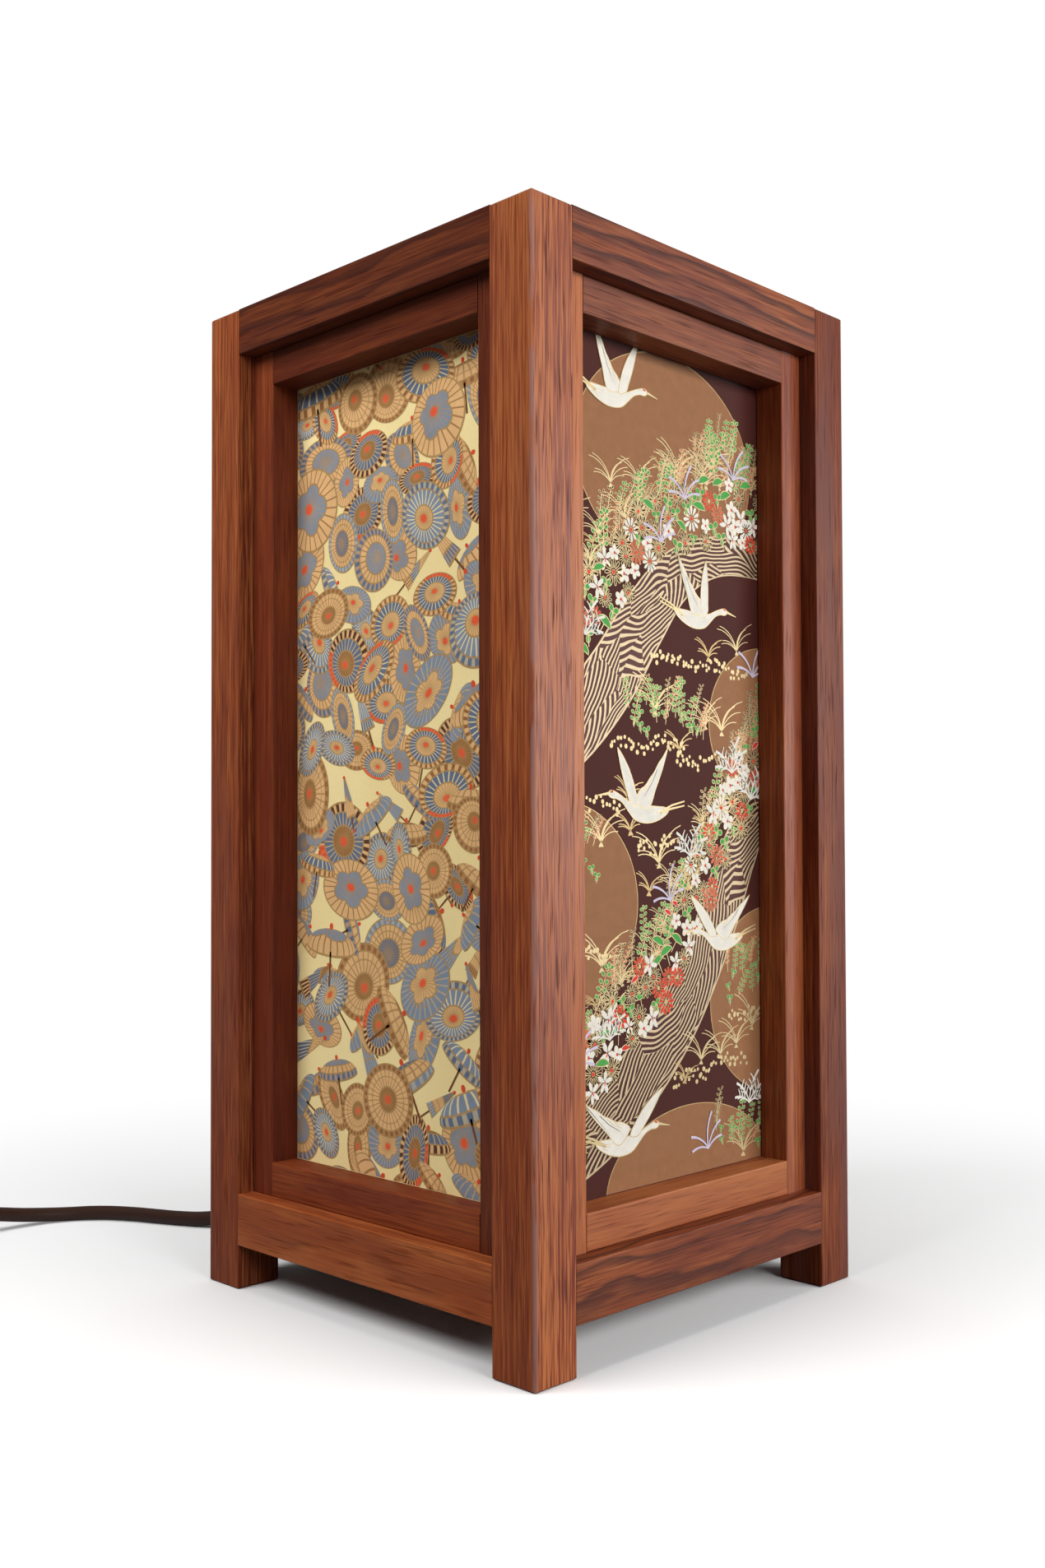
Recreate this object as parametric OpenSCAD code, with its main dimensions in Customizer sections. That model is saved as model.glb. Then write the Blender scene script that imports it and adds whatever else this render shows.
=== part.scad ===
// Square wooden table lamp. Four posts and eight rails make an open-topped frame, and a
// papered sash sits back in each side. The bulb stands on a board between the bottom rails.
// The origin is on the table at the middle of the lamp, +Z is up, -Y is the front and the
// lead leaves through the bottom rail of the +Y side.

/* [Frame] */
// Width of the lamp over its posts, the same on all four sides
frame_w = 180; // [160:1:240]
// Height of the posts
frame_h = 384; // [320:1:480]
// Side of a square post, which is also the thickness of the rails
post_w = 19.5; // [17:0.5:26]
// Radius of a post's outer edge, at the corner of the lamp
post_ease = 1.3; // [0.5:0.1:2.5]
// Radius of the other long edges of a post
post_edge = 0.4; // [0.2:0.1:1]
// Chamfer round the foot and the top of a post
post_chamfer = 0.8; // [0.3:0.1:1.5]
// Height of the bottom rails above the table
foot_gap = 17; // [12:1:30]
// Height of a bottom rail
bottom_rail_h = 20; // [18:1:32]
// Height of a top rail
top_rail_h = 18; // [16:1:30]
// Radius of the long edges of a rail
rail_ease = 0.5; // [0.3:0.1:1.5]

/* [Frame joints] */
// Thickness of the tenon on the end of a rail
tenon_t = 6; // [4:0.5:8]
// Shoulder above and below that tenon
tenon_shoulder = 4; // [2:0.5:5]
// Room left round a tenon in its mortise
joint_room = 0.1; // [0.05:0.05:0.3]
// Room between the mitred ends of two tenons that meet in a post
mitre_room = 0.4; // [0.2:0.1:1]

/* [Sashes] */
// How far a sash sits back from the face of the frame
sash_setback = 7; // [4:0.5:9]
// Room between a sash and the frame round it
sash_room = 0.2; // [0.1:0.05:0.5]
// Width of a stile
stile_w = 12.6; // [11:0.2:18]
// Height of the top rail of a sash
sash_top_h = 13; // [11:0.5:18]
// Height of the bottom rail of a sash
sash_bottom_h = 13; // [11:0.5:18]
// Radius of the long edges of a stile or sash rail
sash_ease = 0.6; // [0.3:0.1:1]
// Thickness of a sash tenon
sash_tenon_t = 4; // [3:0.5:4.5]
// Length of a sash tenon
sash_tenon_l = 7; // [5:0.5:8]
// Shoulder above and below a sash tenon
sash_shoulder = 3; // [2:0.5:4]

/* [Paper] */
// Thickness of the printed paper on its stiff backing
paper_t = 0.5; // [0.3:0.1:1]
// Thickness of the beads that hold the paper
bead_t = 4; // [3:0.5:5]
// Distance from the edge of the opening back to the bead
bead_reveal = 0.5; // [0.2:0.1:1]
// Room between a paper and the beads of the next side
corner_room = 1.3; // [0.5:0.1:1.5]
// Room between the beads where they meet
bead_room = 0.2; // [0.1:0.1:0.5]

/* [Base board] */
// Thickness of the board that carries the lampholder
board_t = 6; // [5:0.5:8]
// Room between the board and the rails
board_room = 0.5; // [0.3:0.1:1]
// Width of the cleats under the board
cleat_w = 10; // [9:0.5:14]
// Height of the cleats
cleat_h = 9; // [8:0.5:10]
// Length of the cleats
cleat_l = 110; // [100:1:125]
// Distance of the board screws from the middle of the lamp
board_screw_y = 38; // [34:1:45]
// Distance of the cleat screws from the middle of the lamp
cleat_screw_y = 20; // [12:1:26]
// Length of a cleat screw past the cleat
cleat_screw_bite = 11; // [8:1:14]
// Diameter of the air holes in the board
vent_d = 9; // [6:0.5:12]
// Radius of the ring of air holes
vent_ring_r = 43; // [38:1:46]

/* [Wood screws] */
// Diameter of a screw shank
screw_d = 3.5; // [3:0.1:4]
// Diameter of a screw head
screw_head_d = 6.6; // [6:0.1:7.5]
// Room round a screw in its hole
screw_room = 0.1; // [0.05:0.05:0.2]

/* [Lampholder] */
// Radius of the flange that is screwed to the board
holder_flange_r = 26; // [25:0.5:30]
// Thickness of the flange
holder_flange_t = 5; // [4:0.5:6]
// Radius of the barrel at the flange
holder_foot_r = 17.6; // [17.2:0.1:18]
// Radius of the barrel at its rim
holder_rim_r = 16.8; // [16.4:0.1:17.2]
// Height of the lampholder
holder_h = 48; // [46:1:56]
// Depth of the socket below the rim
socket_depth = 25; // [24:0.5:26]
// Thickness of the floor between the socket and the wiring chamber
socket_floor_t = 6; // [4:0.5:6.5]
// Distance of the holder screws from the axis
holder_screw_x = 21.5; // [21.5:0.1:22]
// Inner radius of the metal screw sleeve
sleeve_r = 13.6; // [13.5:0.05:13.8]
// Thickness of the sleeve
sleeve_t = 0.5; // [0.4:0.1:0.8]
// Room round the sleeve in the socket
sleeve_room = 0.15; // [0.1:0.05:0.3]
// Height of the sleeve
sleeve_h = 23; // [20:0.5:23.5]
// Height of the contact tongue over the socket floor
contact_h = 4; // [3:0.5:5]

/* [Bulb] */
// Radius of the glass at its widest
bulb_r = 30; // [26:0.5:35]
// Radius of the neck of the glass
bulb_neck_r = 12.5; // [11.5:0.1:12.7]
// Radius of the hollow curve from neck to globe
bulb_flare_r = 26; // [22:1:32]
// Thickness of the glass
glass_t = 1; // [0.8:0.1:1.4]
// Radius of the cap
cap_r = 13.1; // [13:0.05:13.2]
// Height of the cap with its contact
cap_h = 25; // [24:0.5:28]
// Depth that the glass sits in the cap
cap_grip = 3; // [2:0.5:5]
// Length of the straight neck above the cap
neck_l = 3; // [2:0.5:8]
// Room between the bulb and the contact tongue
contact_room = 0.3; // [0.2:0.1:0.4]

/* [Lead] */
// Diameter of the lead
cord_d = 6.3; // [5.5:0.1:6.5]
// Room between the strain relief and the board above it
relief_room = 0.3; // [0.2:0.1:0.6]
// Radius of the bend where the lead turns up into the lampholder
lead_bend_r = 25.5; // [25:0.5:26]
// Radius of the strain relief where it passes the rail
relief_r = 4.6; // [4.2:0.1:5]
// Radius of the strain relief's flange
relief_flange_r = 7.5; // [7:0.1:8]
// Length of the strain relief outside the rail
relief_l = 20; // [20:1:30]
// Radius of the strain relief's tip
relief_tip_r = 3.9; // [3.6:0.1:4.2]

/* [Switch on the lead] */
// Length of the switch between the cords
switch_l = 64; // [60:1:70]
// Width of the switch
switch_w = 26; // [25:0.5:30]
// Height of the switch
switch_h = 18; // [18:0.5:20]
// Length of each tapered nose
switch_nose_l = 9; // [7:0.5:10]
// Length of the rocker
rocker_l = 18.8; // [18:0.2:19]
// Width of the rocker
rocker_w = 12.4; // [11:0.2:12.6]
// Height of the rocker's middle over its pivot
rocker_rise = 5; // [4.5:0.1:5.2]
// Tilt of the rocker to either side
rocker_tilt = 8; // [6:0.5:9]
// Height of the rocker's pivot over the table
rocker_pivot_z = 12.5; // [12:0.1:13]
// Diameter of the rocker's pivot pins
rocker_pin_d = 3; // [2.6:0.1:3.2]

/* [Plug] */
// Length of the moulded plug
plug_l = 32; // [30:1:38]
// Width of the plug
plug_w = 25; // [24:0.5:28]
// Height of the plug
plug_h = 18; // [17:0.5:20]
// Length of the plug's tapered nose
plug_nose_l = 12; // [10:0.5:14]
// Distance between the two blades
blade_pitch = 12.7; // [12.7:0.1:12.7]
// Length of the blades outside the plug
blade_l = 17.5; // [16:0.5:18]
// Height of a blade
blade_h = 6.3; // [6.1:0.1:6.5]
// Thickness of a blade
blade_t = 1.5; // [1.4:0.1:1.6]

/* [Coil] */
// Radius of the coil at the middle of its outer turns
coil_r = 47; // [44:1:49]
// Distance between neighbouring turns and between the two layers
coil_pitch = 6.9; // [6.8:0.1:7.2]
// Number of turns in both layers together
coil_turns = 6.18; // [6.18:1:7.18]

/* [Hidden] */
$fn = 48;

wood_dark = "#5f2d1c";
wood_warm = "#8a4528";
wood_sash = "#7a3a22";
brass = "#c9a25a";
steel = "#b9bcc0";
lead_brown = "#33211a";

// The four sides are turns of the front one, in degrees
front_turn = 0;
right_turn = 90;
back_turn = 180;
left_turn = 270;

half_w = frame_w / 2;
inner_half = half_w - post_w;
post_at = half_w - post_w / 2;
rail_top = foot_gap + bottom_rail_h;
top_rail_z = frame_h - top_rail_h;

sash_back_room = 0.2;
sash_t = post_w - sash_setback - sash_back_room;
sash_front = -half_w + sash_setback;
sash_mid = sash_front + sash_t / 2;
sash_half = inner_half - sash_room;
sash_top = top_rail_z - sash_room;
opening_half = sash_half - stile_w;
opening_low = rail_top + sash_bottom_h;
opening_high = sash_top - sash_top_h;

paper_front = sash_front + sash_t;
paper_half = inner_half - bead_t - paper_t - corner_room;
paper_lap = paper_half - opening_half;
paper_low = opening_low - paper_lap;
paper_high = opening_high + paper_lap;
bead_w = paper_lap - bead_reveal;

board_top = rail_top;
board_low = board_top - board_t;
board_half = inner_half - board_room;
cleat_x = inner_half - cleat_w / 2;
screw_head_h = 2;
screw_slot_w = 0.9;
screw_slot_depth = 0.8;
slot_half_w = cord_d / 2 + 4.5;
slot_back = 11;
vents = 6;

socket_z = board_top + holder_h - socket_depth;
chamber_h = holder_h - socket_depth - socket_floor_t;
chamber_r = sleeve_r + sleeve_t + sleeve_room;
contact_t = 0.8;
contact_l = 15;
contact_w = 6;

cap_low = socket_z + contact_h + contact_room;
cap_tip_r = 4.5;
cap_tip_h = 2.5;
glass_low = cap_low + cap_h - cap_grip;
flare_z = cap_low + cap_h + neck_l;
globe_z = flare_z + sqrt(pow(bulb_r + bulb_flare_r, 2) - pow(bulb_neck_r + bulb_flare_r, 2));

lead_z = board_low - relief_r - relief_room;
relief_inner = 1.5;
relief_flange_t = 2;
relief_root_r = 5.2;
groove_w = 1.4;
groove_depth = 0.7;
relief_tip_y = half_w + relief_l;

switch_at = [-166, 222];
switch_turn = 180;
switch_body_l = switch_l - 2 * switch_nose_l;
switch_nose_r = 5;
switch_root_r = 7;
switch_ease = 3;
switch_corner = 6;
rocker_hole_room_x = 1.2;
rocker_hole_room_y = 0.3;
rocker_floor_z = 4;
pin_room = 0.08;
pin_l = 1.6;
pin_end_room = 0.3;
switch_screw_at = [16.5, 8];
switch_screw_d = 2.6;
switch_screw_head_d = 4.6;
switch_screw_sink = 1.2;
switch_screw_l = 11;

plug_nose_r = 4.3;
plug_root_r = 7.5;
plug_ease = 4;
blade_inside = 9;
blade_room = 0.1;
blade_chamfer = 1.2;
grip_grooves = 5;
grip_pitch = 2.6;
grip_groove_w = 1;
grip_groove_depth = 0.6;

// The coil lies beside the switch, and both layers turn the same way
coil_at = [-218, 160];
coil_start = 135;
coil_low = cord_d / 2;
coil_high = coil_low + coil_pitch;
rings_per_turn = 24;
climb_turns = 0.5;
coil_rings = round(coil_turns * rings_per_turn);
coil_end = coil_start + 360 * coil_turns;
plug_gap = 22;

// Route of the free lead, from the strain relief over the table to the switch
lamp_route = [
    [0, relief_tip_y, lead_z], [-3, 124, 25], [-10, 136, 20], [-20, 144, 12], [-32, 150, 6],
    [-43, 159, 4], [-50, 171, 3.2], [-56, 183, 3.2], [-62, 195, 3.2], [-71, 207, 3.2],
    [-85, 217, 3.2], [-101, 221, 5], [-118, 222, 8], [-134, 222, switch_h / 2]
];
coil_mouth = coil_point(0) - cord_d * coil_heading(coil_start);
coil_exit = coil_point(1) + cord_d * coil_heading(coil_end);
// Route from the switch down to the first turn of the coil
coil_lead_route = [
    [-198, 222, switch_h / 2], [-210, 221, 8], [-222, 217, 6], [-233, 210, 4], coil_mouth
];
plug_mouth = [
    coil_exit[0] + plug_gap * coil_heading(coil_end)[0],
    coil_exit[1] + plug_gap * coil_heading(coil_end)[1],
    plug_h / 2
];
plug_lead_route = [coil_exit, (2 * coil_exit + plug_mouth) / 3, (coil_exit + 2 * plug_mouth) / 3, plug_mouth];

// Share of a smooth step from 0 to 1
function eased(share) = let(s = min(1, max(0, share))) s * s * (3 - 2 * s);

// Direction of travel along the coil at an angle
function coil_heading(angle) = [-sin(angle), cos(angle), 0];

// Middle of the cord at a share of the coil's turns: in along the table, and out on top
function coil_point(share) =
    let(
        turn = share * coil_turns,
        angle = coil_start + 360 * turn,
        radius = coil_r - coil_pitch * min(turn, coil_turns - turn),
        climb = eased((turn - coil_turns / 2) / climb_turns + 0.5)
    )
    [
        coil_at[0] + radius * cos(angle),
        coil_at[1] + radius * sin(angle),
        coil_low + coil_pitch * climb
    ];

coil_route = concat(
    [coil_mouth],
    [for (i = [0:coil_rings]) coil_point(i / coil_rings)],
    [coil_exit]
);

function unit(v) = v / norm(v);

// Direction of a route at one of its points, with its directions at both ends given
function along(route, i, first, last) =
    i == 0 ? first
    : i == len(route) - 1 ? last
    : unit(route[i + 1] - route[i - 1]);

// One ring of points round a point, with its first point straight below
function ring(middle, forward, r, sides) =
    let(
        side = unit(cross(forward, [0, 0, 1])),
        up = cross(side, forward)
    )
    [for (k = [0:sides - 1]) middle + r * (side * sin(360 * k / sides) - up * cos(360 * k / sides))];

// Closed tube along a route that sets out in one direction and ends in another
module tube(route, first, last, sides) {
    rings = len(route);
    points = [
        for (i = [0:rings - 1])
            each ring(route[i], along(route, i, first, last), cord_d / 2, sides)
    ];
    walls = [
        for (i = [0:rings - 2], k = [0:sides - 1])
            let(
                a = i * sides + k,
                b = i * sides + (k + 1) % sides
            )
            each [[a, b, b + sides], [a, b + sides, a + sides]]
    ];
    last_ring = (rings - 1) * sides;
    first_end = [for (k = [1:sides - 2]) [0, k + 1, k]];
    last_end = [for (k = [1:sides - 2]) [last_ring, last_ring + k, last_ring + k + 1]];
    polyhedron(points = points, faces = concat(walls, first_end, last_end));
}

// Least distance between stretches of the coil that are over half a turn apart
coil_gap = min([
    for (i = [0:coil_rings], j = [i + rings_per_turn / 2:coil_rings])
        norm(coil_point(i / coil_rings) - coil_point(j / coil_rings))
]) - cord_d;
echo("least gap of the coil to itself in mm", coil_gap);

// Rectangle about the origin with eased corners
module eased_rect(w, h, r) {
    square([w - 2 * r, h], center = true);
    square([w, h - 2 * r], center = true);
    for (x = [-1, 1], y = [-1, 1])
        translate([x * (w / 2 - r), y * (h / 2 - r)])
            circle(r);
}

// Bar along X with its middle at the origin and its four long edges eased
module bar(length, thickness, height, r) {
    rotate([90, 0, 90])
        translate([0, 0, -length / 2])
            linear_extrude(length)
                eased_rect(thickness, height, r);
}

// Box from its lowest to its highest corner
module box(low, high) {
    translate(low)
        cube(high - low);
}

// Turns a piece of the front to its own side
module turned(side_turn) {
    rotate([0, 0, side_turn])
        children();
}

// Square outline with chamfered ends, as wide as a post and as high as the lamp
module post_side_outline() {
    w = post_w / 2;
    c = post_chamfer;
    polygon([
        [-w + c, 0], [w - c, 0], [w, c], [w, frame_h - c],
        [w - c, frame_h], [-w + c, frame_h], [-w, frame_h - c], [-w, c]
    ]);
}

// Room in a post for the two tenons that meet in it
module corner_mortise(low, high) {
    near = -tenon_t / 2 - joint_room;
    far = post_w / 2 + 1;
    box([near, near, low - joint_room], [far, -near, high + joint_room]);
    box([near, near, low - joint_room], [-near, far, high + joint_room]);
}

// Section of the post at the corner of -X and -Y, whose outer edge is the rounder one
module post_section() {
    outer = post_ease - post_w / 2;
    difference() {
        eased_rect(post_w, post_w, post_edge);
        translate([outer - post_w, outer - post_w])
            square(post_w);
    }
    translate([outer, outer])
        circle(post_ease);
}

// The post at the corner of -X and -Y, turned to its own corner
module post(side_turn) {
    color(wood_warm)
        turned(side_turn)
            translate([-post_at, -post_at, 0])
                difference() {
                    intersection() {
                        linear_extrude(frame_h)
                            post_section();
                        translate([0, post_w / 2 + 1, 0])
                            rotate([90, 0, 0])
                                linear_extrude(post_w + 2)
                                    post_side_outline();
                        translate([-post_w / 2 - 1, 0, 0])
                            rotate([90, 0, 90])
                                linear_extrude(post_w + 2)
                                    post_side_outline();
                    }
                    corner_mortise(foot_gap + tenon_shoulder, rail_top - tenon_shoulder);
                    corner_mortise(top_rail_z + tenon_shoulder, frame_h - tenon_shoulder);
                }
}

// Mitred tenon on the +X end of the front rail
module rail_tenon(low, high) {
    h = post_w / 2;
    t = tenon_t / 2;
    translate([post_at, -post_at, low])
        linear_extrude(high - low)
            polygon([[-h - 1, -t], [t - mitre_room, -t], [-t - mitre_room, t], [-h - 1, t]]);
}

// Rail of one side between two heights
module frame_rail(side_turn, low, high) {
    turned(side_turn) {
        translate([0, -post_at, (low + high) / 2])
            bar(2 * inner_half, post_w, high - low, rail_ease);
        for (end = [0, 1])
            mirror([end, 0, 0])
                rail_tenon(low + tenon_shoulder, high - tenon_shoulder);
    }
}

module top_rail(side_turn) {
    color(wood_dark)
        frame_rail(side_turn, top_rail_z, frame_h);
}

module bottom_rail(side_turn) {
    color(wood_dark)
        frame_rail(side_turn, foot_gap, rail_top);
}

// The back bottom rail has the hole for the strain relief
module back_bottom_rail() {
    color(wood_dark)
        difference() {
            frame_rail(back_turn, foot_gap, rail_top);
            translate([0, half_w + 1, lead_z])
                rotate([90, 0, 0])
                    cylinder(r = relief_r + screw_room, h = post_w + 2);
        }
}

// Tenons on both ends of a sash rail, or the room for them when grown
module sash_tenons(low, high, grown) {
    reach = opening_half + sash_tenon_l + grown;
    box(
        [-reach, sash_mid - sash_tenon_t / 2 - grown, low + sash_shoulder - grown],
        [reach, sash_mid + sash_tenon_t / 2 + grown, high - sash_shoulder + grown]
    );
}

// Stile of a sash, on its left (-1) or right (1) as seen from outside
module stile(side_turn, hand) {
    color(wood_sash)
        turned(side_turn)
            difference() {
                translate([hand * (sash_half - stile_w / 2), sash_mid, rail_top])
                    linear_extrude(sash_top - rail_top)
                        eased_rect(stile_w, sash_t, sash_ease);
                sash_tenons(rail_top, opening_low, joint_room);
                sash_tenons(opening_high, sash_top, joint_room);
            }
}

// Rail of a sash, tenoned into both stiles
module sash_rail(side_turn, low, high) {
    color(wood_sash)
        turned(side_turn) {
            translate([0, sash_mid, (low + high) / 2])
                bar(2 * opening_half, sash_t, high - low, sash_ease);
            sash_tenons(low, high, 0);
        }
}

module paper(side_turn) {
    color("#cdbb8f")
        turned(side_turn)
            box([-paper_half, paper_front, paper_low], [paper_half, paper_front + paper_t, paper_high]);
}

// Four beads round the back of a paper
module paper_beads(side_turn) {
    mid_y = paper_front + paper_t + bead_t / 2;
    bead_ease = bead_t / 5;
    color(wood_warm)
        turned(side_turn)
            translate([0, mid_y, 0]) {
                for (x = [-1, 1])
                    translate([x * (paper_half - bead_w / 2), 0, paper_low])
                        linear_extrude(paper_high - paper_low)
                            eased_rect(bead_w, bead_t, bead_ease);
                for (z = [paper_low + bead_w / 2, paper_high - bead_w / 2])
                    translate([0, 0, z])
                        bar(2 * (paper_half - bead_w - bead_room), bead_t, bead_w, bead_ease);
            }
}

// Room for a screwdriver in a head whose top is at the origin
module driver_slot() {
    cube([screw_head_d + 1, screw_slot_w, 2 * screw_slot_depth], center = true);
}

// Countersunk screw with its head's face at the origin, pointing down
module countersunk_screw(length) {
    tip = 3;
    difference() {
        rotate_extrude()
            polygon([
                [0, 0], [screw_head_d / 2, 0], [screw_head_d / 2, -0.3],
                [screw_d / 2, -screw_head_h], [screw_d / 2, -length + tip], [0.3, -length], [0, -length]
            ]);
        driver_slot();
    }
}

// Room for that screw
module countersunk_hole(length) {
    r = screw_room;
    rotate_extrude()
        polygon([
            [0, 1], [screw_head_d / 2 + r, 1], [screw_head_d / 2 + r, -0.3 - r / 2],
            [screw_d / 2 + r, -screw_head_h - r / 2], [screw_d / 2 + r, -length - 0.5], [0, -length - 0.5]
        ]);
}

// Screw with a round head that stands on the surface at the origin
module pan_screw(length) {
    head_h = 2.4;
    difference() {
        union() {
            rotate_extrude()
                intersection() {
                    translate([0, head_h - screw_head_d])
                        circle(screw_head_d);
                    square([screw_head_d / 2, head_h]);
                }
            translate([0, 0, -length])
                cylinder(d = screw_d, h = length + 0.5);
        }
        translate([0, 0, head_h])
            driver_slot();
    }
}

board_screw_l = board_t + cleat_h - 2;
cleat_mid_z = board_low - cleat_h / 2;
cleat_screw_l = cleat_w + cleat_screw_bite;

module at_board_screws() {
    for (x = [-1, 1], y = [-1, 1])
        translate([x * cleat_x, y * board_screw_y, board_top])
            children();
}

module at_cleat_screws(hand) {
    for (y = [-1, 1])
        translate([hand * (inner_half - cleat_w), y * cleat_screw_y, cleat_mid_z])
            rotate([0, -hand * 90, 0])
                children();
}

module at_holder_screws(z) {
    for (x = [-1, 1])
        translate([x * holder_screw_x, 0, z])
            children();
}

holder_screw_l = holder_flange_t + board_t - 1;

module base_board() {
    color(wood_warm)
        difference() {
            box([-board_half, -board_half, board_low], [board_half, board_half, board_top]);
            // The lead rises through this slot
            for (y = [0, slot_back])
                translate([0, y, board_low - 1])
                    cylinder(r = slot_half_w, h = board_t + 2);
            box([-slot_half_w, 0, board_low - 1], [slot_half_w, slot_back, board_top + 1]);
            for (i = [0:vents - 1])
                rotate([0, 0, 360 * i / vents])
                    translate([vent_ring_r, 0, board_low - 1])
                        cylinder(d = vent_d, h = board_t + 2);
            at_board_screws()
                countersunk_hole(board_screw_l);
            at_holder_screws(board_low)
                translate([0, 0, 0.5])
                    cylinder(d = screw_d + 2 * screw_room, h = board_t);
        }
}

module cleat(hand) {
    color(wood_warm)
        difference() {
            translate([hand * cleat_x, 0, cleat_mid_z])
                rotate([0, 0, 90])
                    bar(cleat_l, cleat_w, cleat_h, sash_ease);
            at_board_screws()
                countersunk_hole(board_screw_l);
            at_cleat_screws(hand)
                countersunk_hole(cleat_screw_l);
        }
}

module board_screws() {
    color(brass)
        at_board_screws()
            countersunk_screw(board_screw_l);
}

module cleat_screws() {
    color(brass)
        for (hand = [-1, 1])
            at_cleat_screws(hand)
                countersunk_screw(cleat_screw_l);
}

// The rails that carry the cleats have room for the cleat screws
module cleated_bottom_rail(side_turn) {
    hand = side_turn == left_turn ? -1 : 1;
    difference() {
        bottom_rail(side_turn);
        at_cleat_screws(hand)
            countersunk_hole(cleat_screw_l);
    }
}

// Porcelain lampholder: a flange, a tapered barrel, the socket and the wiring chamber
module lampholder_body() {
    rim = 1.2;
    fillet = 0.5;
    color("#f1ede2")
        difference() {
            translate([0, 0, board_top])
                rotate_extrude() {
                    difference() {
                        polygon([
                            [0, 0], [holder_flange_r - rim, 0],
                            [holder_flange_r, rim], [holder_flange_r, holder_flange_t - rim],
                            [holder_flange_r - rim, holder_flange_t],
                            [holder_foot_r + fillet, holder_flange_t],
                            [holder_foot_r, holder_flange_t + fillet],
                            [holder_rim_r, holder_h - rim], [holder_rim_r - rim, holder_h], [0, holder_h]
                        ]);
                        square([chamber_r, chamber_h]);
                        translate([0, chamber_h + socket_floor_t])
                            square([chamber_r, holder_h]);
                    }
                }
            at_holder_screws(board_top - 1)
                cylinder(d = screw_d + 2 * screw_room, h = holder_flange_t + 2);
        }
}

module lampholder_sleeve() {
    color(brass)
        translate([0, 0, socket_z])
            difference() {
                cylinder(r = sleeve_r + sleeve_t, h = sleeve_h);
                translate([0, 0, -1])
                    cylinder(r = sleeve_r, h = sleeve_h + 2);
            }
}

// Bent tongue that touches the tip of the bulb
module lampholder_contact() {
    foot = contact_l / 2;
    color(brass)
        translate([0, contact_w / 2, socket_z])
            rotate([90, 0, 0])
                linear_extrude(contact_w)
                    polygon([
                        [-foot, 0], [foot / 3, 0], [foot / 3, contact_t], [-foot + 4, contact_t],
                        [-2, contact_h - contact_t], [3, contact_h - contact_t], [3, contact_h],
                        [-2.6, contact_h], [-foot + 3, contact_t], [-foot, contact_t]
                    ]);
}

module lampholder_screws() {
    color(steel)
        at_holder_screws(board_top + holder_flange_t)
            pan_screw(holder_screw_l);
}

// Outline of the glass in section, taken in from its outer face by an amount
module glass_outline(inset) {
    flare_x = bulb_neck_r + bulb_flare_r;
    globe_share = bulb_r / (bulb_r + bulb_flare_r);
    meet_x = flare_x * globe_share;
    meet_z = globe_z - (globe_z - flare_z) * globe_share;
    intersection() {
        union() {
            translate([0, globe_z])
                circle(bulb_r - inset);
            translate([0, glass_low + inset])
                square([bulb_neck_r - inset, flare_z - glass_low]);
            difference() {
                polygon([[0, flare_z], [flare_x, flare_z], [meet_x, meet_z], [0, meet_z]]);
                translate([flare_x, flare_z])
                    circle(bulb_flare_r + inset);
            }
        }
        translate([0, glass_low])
            square([2 * bulb_r, 4 * bulb_r]);
    }
}

module bulb_glass() {
    color("#f4f1ea")
        rotate_extrude($fn = 64)
            difference() {
                glass_outline(0);
                glass_outline(glass_t);
            }
}

// Cap with its contact tip below and a mouth that holds the glass
module bulb_cap() {
    color(brass)
        translate([0, 0, cap_low])
            difference() {
                rotate_extrude()
                    polygon([
                        [0, 0], [cap_tip_r - 1, 0], [cap_tip_r, 0.6], [cap_tip_r, cap_tip_h / 2],
                        [cap_r - 1.5, cap_tip_h + 1], [cap_r, cap_tip_h + 3], [cap_r, cap_h], [0, cap_h]
                    ]);
                translate([0, 0, cap_h - cap_grip])
                    cylinder(r = bulb_neck_r + 0.1, h = cap_grip + 1);
            }
}

// Moulded strain relief: a barrel through the rail, a flange and a grooved taper outside
module strain_relief() {
    taper_l = relief_l - relief_flange_t;
    slope = (relief_root_r - relief_tip_r) / taper_l;
    grooves = 4;
    groove_pitch = taper_l / (grooves + 1);
    color(lead_brown)
        translate([0, half_w, lead_z])
            rotate([-90, 0, 0])
                rotate_extrude()
                    difference() {
                        union() {
                            translate([0, -post_w - relief_inner])
                                square([relief_r, post_w + relief_inner + 1]);
                            square([relief_flange_r, relief_flange_t]);
                            translate([0, relief_flange_t])
                                polygon([[0, 0], [relief_root_r, 0], [relief_tip_r, taper_l], [0, taper_l]]);
                        }
                        for (i = [1:grooves])
                            translate([
                                relief_root_r - slope * groove_pitch * i - groove_depth,
                                relief_flange_t + groove_pitch * i - groove_w / 2
                            ])
                                square([2, groove_w]);
                    }
}

// Lead inside the lamp: level under the board, then up into the wiring chamber
module inner_lead() {
    color(lead_brown) {
        translate([0, inner_half - relief_inner, lead_z])
            rotate([90, 0, 0])
                cylinder(d = cord_d, h = inner_half - relief_inner - lead_bend_r);
        translate([0, lead_bend_r, lead_z + lead_bend_r])
            rotate([0, 90, 0])
                rotate([0, 0, 270])
                    rotate_extrude(angle = 90)
                        translate([lead_bend_r, 0])
                            circle(d = cord_d);
    }
}

module lamp_cord() {
    color(lead_brown)
        tube(lamp_route, [0, 1, 0], [-1, 0, 0], 10);
}

module coil_lead() {
    color(lead_brown)
        tube(coil_lead_route, [-1, 0, 0], coil_heading(coil_start), 10);
}

module cord_coil() {
    color(lead_brown)
        tube(coil_route, coil_heading(coil_start), coil_heading(coil_end), 6);
}

module plug_lead() {
    color(lead_brown)
        tube(plug_lead_route, coil_heading(coil_end), coil_heading(coil_end), 10);
}

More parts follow.
